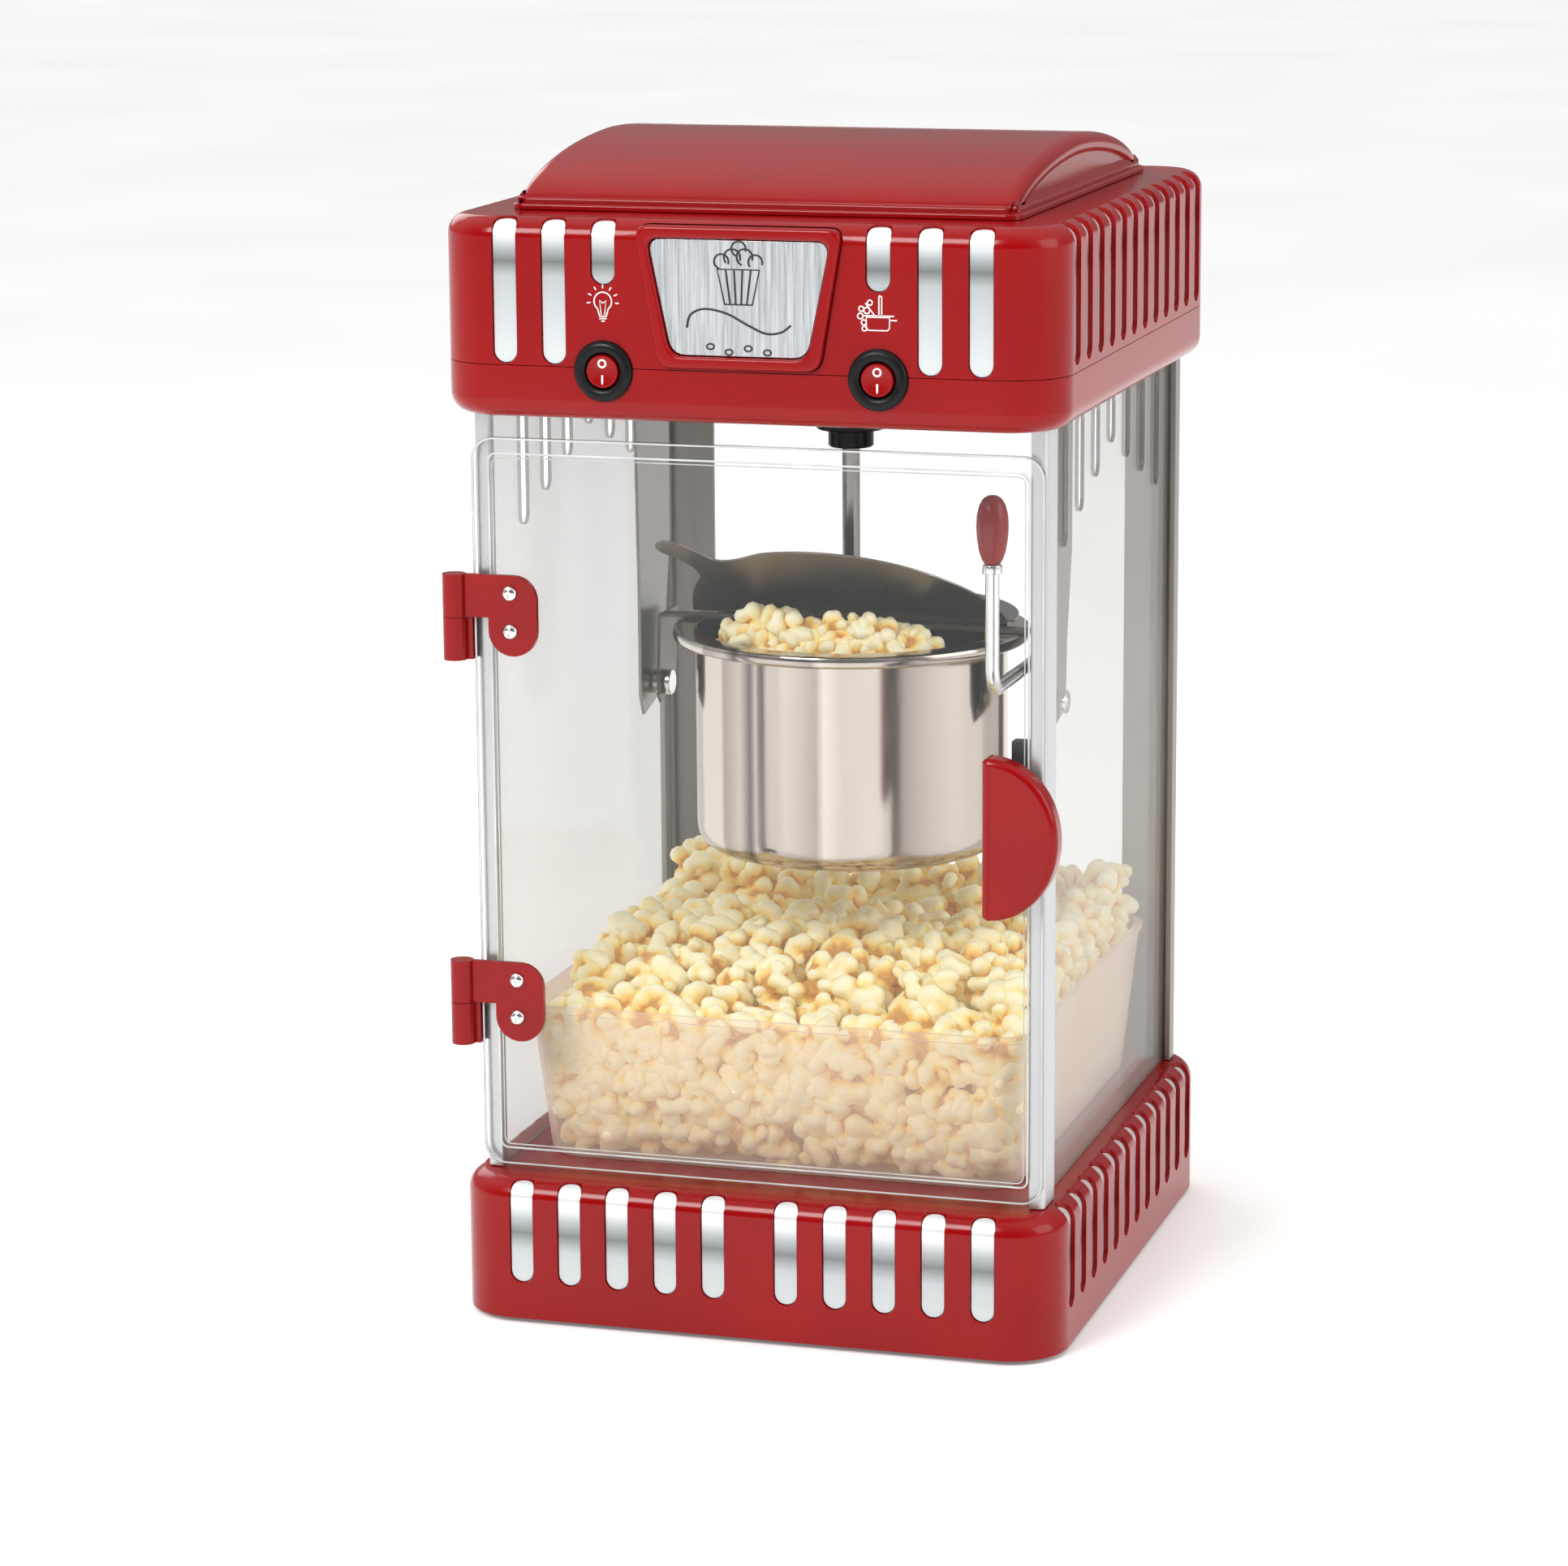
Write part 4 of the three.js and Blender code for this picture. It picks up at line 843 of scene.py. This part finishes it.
def drive():
    coupler = [(0, 343.5), (8.9, 343.5), (9.5, 344.1), (9.5, 365.4), (8.9, 366), (3.6, 366), (3.6, 387.2), (0, 387.2)]
    piece("coupler_hub", turned(coupler, sides=64), BLACK, "drive", ["drive_coupler"], 0, 40)
    skirt = [(10.2, 351.4), (10.7, 351), (14, 351), (14.5, 351.5), (14.5, 370.2), (15, 370.6), (19.5, 370.6),
             (20, 371.1), (20, 375.2), (10.2, 375.2)]
    piece("coupler_cover", turned(skirt, sides=72), BLACK, "cabinet", ["coupler_skirt"], 0, 40)
    refined(["hanger_left", "hanger_right"], HANGER, "cabinet", 0.3)
    refined(["motor_gearbox", "motor"], PLAIN, "cabinet", 0.5)
    refined(["lamp_socket", "cord_gland", "door_catch"], BLACK, "cabinet", 0.4)
    bulb = [(0, 377), (3.4, 377.5), (6.2, 379.4), (8.0, 382.4), (8.6, 386), (7.9, 390), (6.2, 393.4), (5.2, 396.6),
            (5, 401.6), (0, 401.6)]
    piece("bulb_glass", turned(bulb, -50, -40, 48), WHITE, "cabinet", ["lamp_bulb"], 0, 60)
    refined("ceiling_plate", PLAIN, "cabinet", 0.2)
    refined("bottom_plate", BLACK, "cabinet", 0.3)
    foot = [(0, 0), (7.4, 0), (8.6, 0.6), (9, 1.6), (9, 2.7), (3, 2.7), (3, 7), (0, 7)]
    for sx, sy, name in ((-1, -1, "front_left"), (1, -1, "front_right"), (-1, 1, "rear_left"), (1, 1, "rear_right")):
        piece("rubber_" + name, turned(foot, sx * 96, sy * 108, 40), RUBBER, "cabinet", ["foot_" + name],
              0, 40)


# ---- tray and popcorn ----
def tub_shell(inset, z0, z1):
    """The tray's block, smaller by inset, narrowing towards its foot."""
    bm = cushion(TRAY_WIDE - 2 * inset, 218 - 2 * inset, 16 - inset, z0, z1, 0, 0, 12)
    for v in bm.verts:
        k = 1 - (TRAY_LEAN * 2 * (TRAY_TOP - v.co.z)) / (TRAY_TALL * TRAY_WIDE)
        v.co.x, v.co.y = v.co.x * k, v.co.y * k + TRAY_Y
    return bm


def tray():
    body = tub_shell(0, 60.4, TRAY_TOP)
    soften(body, [e for e in body.edges if level(e, 60.4)], 3.0, 5)
    lip = tub_shell(-1.2, 123, TRAY_TOP)
    bm = carve(body, (ADD, lip), (CUT, tub_shell(1.6, 62.4, 130)))
    piece("popcorn_tray", bm, TUB, "tray", ["tray"], 0.5, 34)


def kernel(rng, detail):
    """One popped kernel: rounded lobes budding from a core, with the depth of its folds kept as an attribute."""
    bm = bmesh.new()
    bmesh.ops.create_icosphere(bm, subdivisions=detail, radius=1)
    lobes = []
    for _ in range(rng.randint(7, 10)):
        a, h = rng.uniform(0, math.tau), rng.uniform(-1, 1)
        flat = math.sqrt(1 - h * h)
        way = Vector((flat * math.cos(a), flat * math.sin(a), h))
        lobes.append((way, rng.uniform(0.62, 1.0), rng.uniform(0.56, 0.82)))
    layer = bm.verts.layers.float.new("fold")
    for v in bm.verts:
        n = v.co.normalized()
        reach = 0.34
        for way, far, wide in lobes:
            c = n.dot(way) * far * 0.66
            s = wide * wide * 0.25 - (far * 0.66) ** 2 + c * c
            if s > 0 and c > 0:
                reach = max(reach, c + math.sqrt(s))
        v.co = n * reach
        v[layer] = max(0.0, min(1.0, (0.78 - reach) / 0.42))
    bmesh.ops.smooth_vert(bm, verts=bm.verts, factor=0.2, use_axis_x=True, use_axis_y=True, use_axis_z=True)
    bm.transform(Matrix.Diagonal((rng.uniform(0.85, 1.1), rng.uniform(0.85, 1.1), rng.uniform(0.8, 1.05), 1)))
    return bm


def scatter(name, spots, body, rng):
    """Copies of a few kernels at the given (x, y, z, size) spots, as one piece."""
    kinds = []
    for _ in range(9):
        bm = kernel(rng, 3)
        mesh = bpy.data.meshes.new("kernel")
        bm.to_mesh(mesh)
        bm.free()
        kinds.append(mesh)
    whole = bmesh.new()
    for x, y, z, size in spots:
        first = len(whole.verts)
        whole.from_mesh(rng.choice(kinds))
        whole.verts.ensure_lookup_table()
        spin = Matrix.Rotation(rng.uniform(0, math.tau), 4, "X") @ Matrix.Rotation(rng.uniform(0, math.tau), 4, "Z")
        place = Matrix.Translation((x, y, z)) @ spin @ Matrix.Scale(size, 4)
        bmesh.ops.transform(whole, matrix=place, verts=whole.verts[first:])
    for mesh in kinds:
        bpy.data.meshes.remove(mesh)
    piece(name, whole, POPCORN, body, (), 0, 180)


def heap_top(x, y):
    """Height of the popcorn heap: lower in front, and kept below the kettle as it tips."""
    rise = 127 + 11 * min(1, (y + 100) / 50) if y < -50 else 138 + 4 * min(1, (y + 50) / 60)
    if y > 55:
        rise += (14 + 6 * min(1, max(0, x - 5) / 20)) * min(1, (y - 55) / 35)
    side = max(0.0, abs(x) - 80) / 20
    return rise + (3 * side if y > -60 else -2 * side)


def room_for(z, radius):
    """Half width and half depth left inside the tray at that height for a kernel."""
    lean = TRAY_LEAN * (TRAY_TOP - min(z, TRAY_TOP)) / TRAY_TALL
    return 103.5 - lean - radius, 105.5 - lean - radius


def popcorn():
    rng = random.Random(11)
    heaps = {"front": [], "middle": [], "rear": []}

    def drop(x, y, z, size):
        heaps["front" if y < -40 else "middle" if y < 40 else "rear"].append((x, y, z, size))

    step = 14.6
    for i in range(-7, 8):
        for j in range(-7, 8):
            x, y = i * step + rng.uniform(-2.5, 2.5), TRAY_Y + j * step + rng.uniform(-2.5, 2.5)
            for k in range(7):
                z = 70 + k * 12.5 + rng.uniform(-2.5, 2.5)
                size = rng.uniform(10.0, 13.2)
                highest = heap_top(x, y) - size * 0.75
                if z > highest + 6:
                    continue
                z = min(z, highest)
                wide, deep = room_for(z, size * 0.78)
                at_wall = abs(x) > wide - 9 or abs(y - TRAY_Y) > deep - 9
                if at_wall or z >= highest - 15:
                    drop(max(-wide, min(wide, x)), TRAY_Y + max(-deep, min(deep, y - TRAY_Y)), z, size)
    for _ in range(170):    # more kernels against the front and side walls
        z, size, t = rng.uniform(72, 116), rng.uniform(10, 12.5), rng.uniform(-1, 1)
        wide, deep = room_for(z, size * 0.8)
        side = rng.choice((0, 0, 1, 2))
        if side:
            drop((side * 2 - 3) * wide, TRAY_Y + t * deep, z, size)
        else:
            drop(t * wide, TRAY_Y - deep, z, size)
    batch = 140
    for name, spots in heaps.items():
        for n in range(0, len(spots), batch):
            scatter("popcorn_%s_%d" % (name, n // batch + 1), spots[n:n + batch], "tray", rng)

    spill = []
    for k in range(30):
        a = math.radians(214 + 108 * k / 29)
        for r, z in ((rng.uniform(50, 56), rng.uniform(262, 268)), (rng.uniform(36, 46), rng.uniform(264, 271)),
                     (rng.uniform(44, 50), rng.uniform(268, 276) if 226 < math.degrees(a) < 305 else 262)):
            y = AXLE_Y + r * math.sin(a)
            under_flap = FLAP_Z + (FRONT_FLAP_Y - y) * 0.62 - 8
            spill.append((r * math.cos(a), y, min(z, under_flap), rng.uniform(8.4, 10.8)))
    scatter("popcorn_kettle", spill, "kettle", rng)


# ---- panes and posts kept from the frame ----
def kept():
    for name, look in (("window_left", SIDE_CLEAR), ("window_right", SIDE_CLEAR), ("window_rear", REAR_CLEAR)):
        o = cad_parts[name]
        o.data.materials.clear()
        o.data.materials.append(look)
    refined(["post_front_left", "post_front_right"], POST, "cabinet", 0.3, 40)
    # The rear posts take the darker aluminium: painted shade.
    refined(["post_rear_left", "post_rear_right"], REAR_POST_PAINTED_SHADE, "cabinet", 0.3, 40)


# ---- floor, lights and camera ----
def studio():
    bm = bmesh.new()
    bmesh.ops.create_grid(bm, x_segments=2, y_segments=2, size=40)
    floor_mesh = bpy.data.meshes.new("floor")
    bm.to_mesh(floor_mesh)
    bm.free()
    floor = bpy.data.objects.new("floor", floor_mesh)
    bpy.context.scene.collection.objects.link(floor)
    ground, _, shader = finish("floor", (0.93, 0.93, 0.925), (0.95, 0.95, 0.945), 2, 0.0, (0.5, 0.6), 0.0, 0.01)
    shader.inputs["Emission Color"].default_value = (1, 1, 1, 1)
    shader.inputs["Emission Strength"].default_value = 0.16
    floor_mesh.materials.append(ground)
    for name, place, aim, size, power in (
            ("key", (-0.7, -1.9, 1.7), (0, 0, 0.2), 0.9, 40), ("side", (2.0, -0.2, 1.0), (0, 0, 0.25), 1.3, 14),
            ("rear", (-1.6, 1.6, 1.3), (0, 0, 0.3), 1.2, 10)):
        lamp = bpy.data.lights.new(name, "AREA")
        lamp.shape, lamp.size, lamp.energy = "SQUARE", size, power
        o = bpy.data.objects.new(name, lamp)
        turn = (Vector(aim) - Vector(place)).to_track_quat("-Z", "Y")
        o.matrix_world = Matrix.Translation(place) @ turn.to_matrix().to_4x4()
        bpy.context.scene.collection.objects.link(o)
    world = bpy.context.scene.world or bpy.data.worlds.new("studio")
    bpy.context.scene.world = world
    world.use_nodes = True
    bpy.context.scene.view_settings.view_transform = "Standard"
    tree = world.node_tree
    sky = next(n for n in tree.nodes if n.type == "BACKGROUND")
    sky.inputs["Strength"].default_value = 1.0
    coord = tree.nodes.new("ShaderNodeTexCoord")
    split = tree.nodes.new("ShaderNodeSeparateXYZ")
    tree.links.new(coord.outputs["Generated"], split.inputs["Vector"])
    height = span(tree, split.outputs["Z"], 0.60, 1.50, 0.05, 0.80)
    turn = span(tree, split.outputs["Y"], 0.0, 1.0, -1.0, 1.0)
    dim = ramp(tree, turn, (0.05, (0.16,) * 3), (0.5, (1.0,) * 3), (0.95, (0.38,) * 3))
    path = tree.nodes.new("ShaderNodeLightPath")
    seen = tree.nodes.new("ShaderNodeMix")
    seen.inputs["B"].default_value = 1.0
    tree.links.new(path.outputs["Is Camera Ray"], seen.inputs["Factor"])
    tree.links.new(maths(tree, "MULTIPLY", height, dim), seen.inputs["A"])
    tree.links.new(seen.outputs["Result"], sky.inputs["Color"])

    az, el, roll = (math.radians(a) for a in (16.859, 12.248, -0.413))
    back = Vector((math.sin(az) * math.cos(el), -math.cos(az) * math.cos(el), math.sin(el)))
    right = Vector((math.cos(az), math.sin(az), 0))
    up = back.cross(right)
    right, up = right * math.cos(roll) + up * math.sin(roll), up * math.cos(roll) - right * math.sin(roll)
    lens = bpy.data.cameras.new("camera")
    lens.lens, lens.sensor_width, lens.clip_end = 113.404, 36, 50
    camera = bpy.data.objects.new("camera", lens)
    turn = Matrix((right, up, back)).transposed().to_4x4()
    camera.matrix_world = Matrix.Translation((0.567571, -1.952618, 0.643903)) @ turn
    bpy.context.scene.collection.objects.link(camera)
    bpy.context.scene.camera = camera


housings()
roof()
badge()
switches()
printed_marks()
door()
hinges()
handle()
kettle()
lid()
drive()
tray()
popcorn()
kept()
studio()
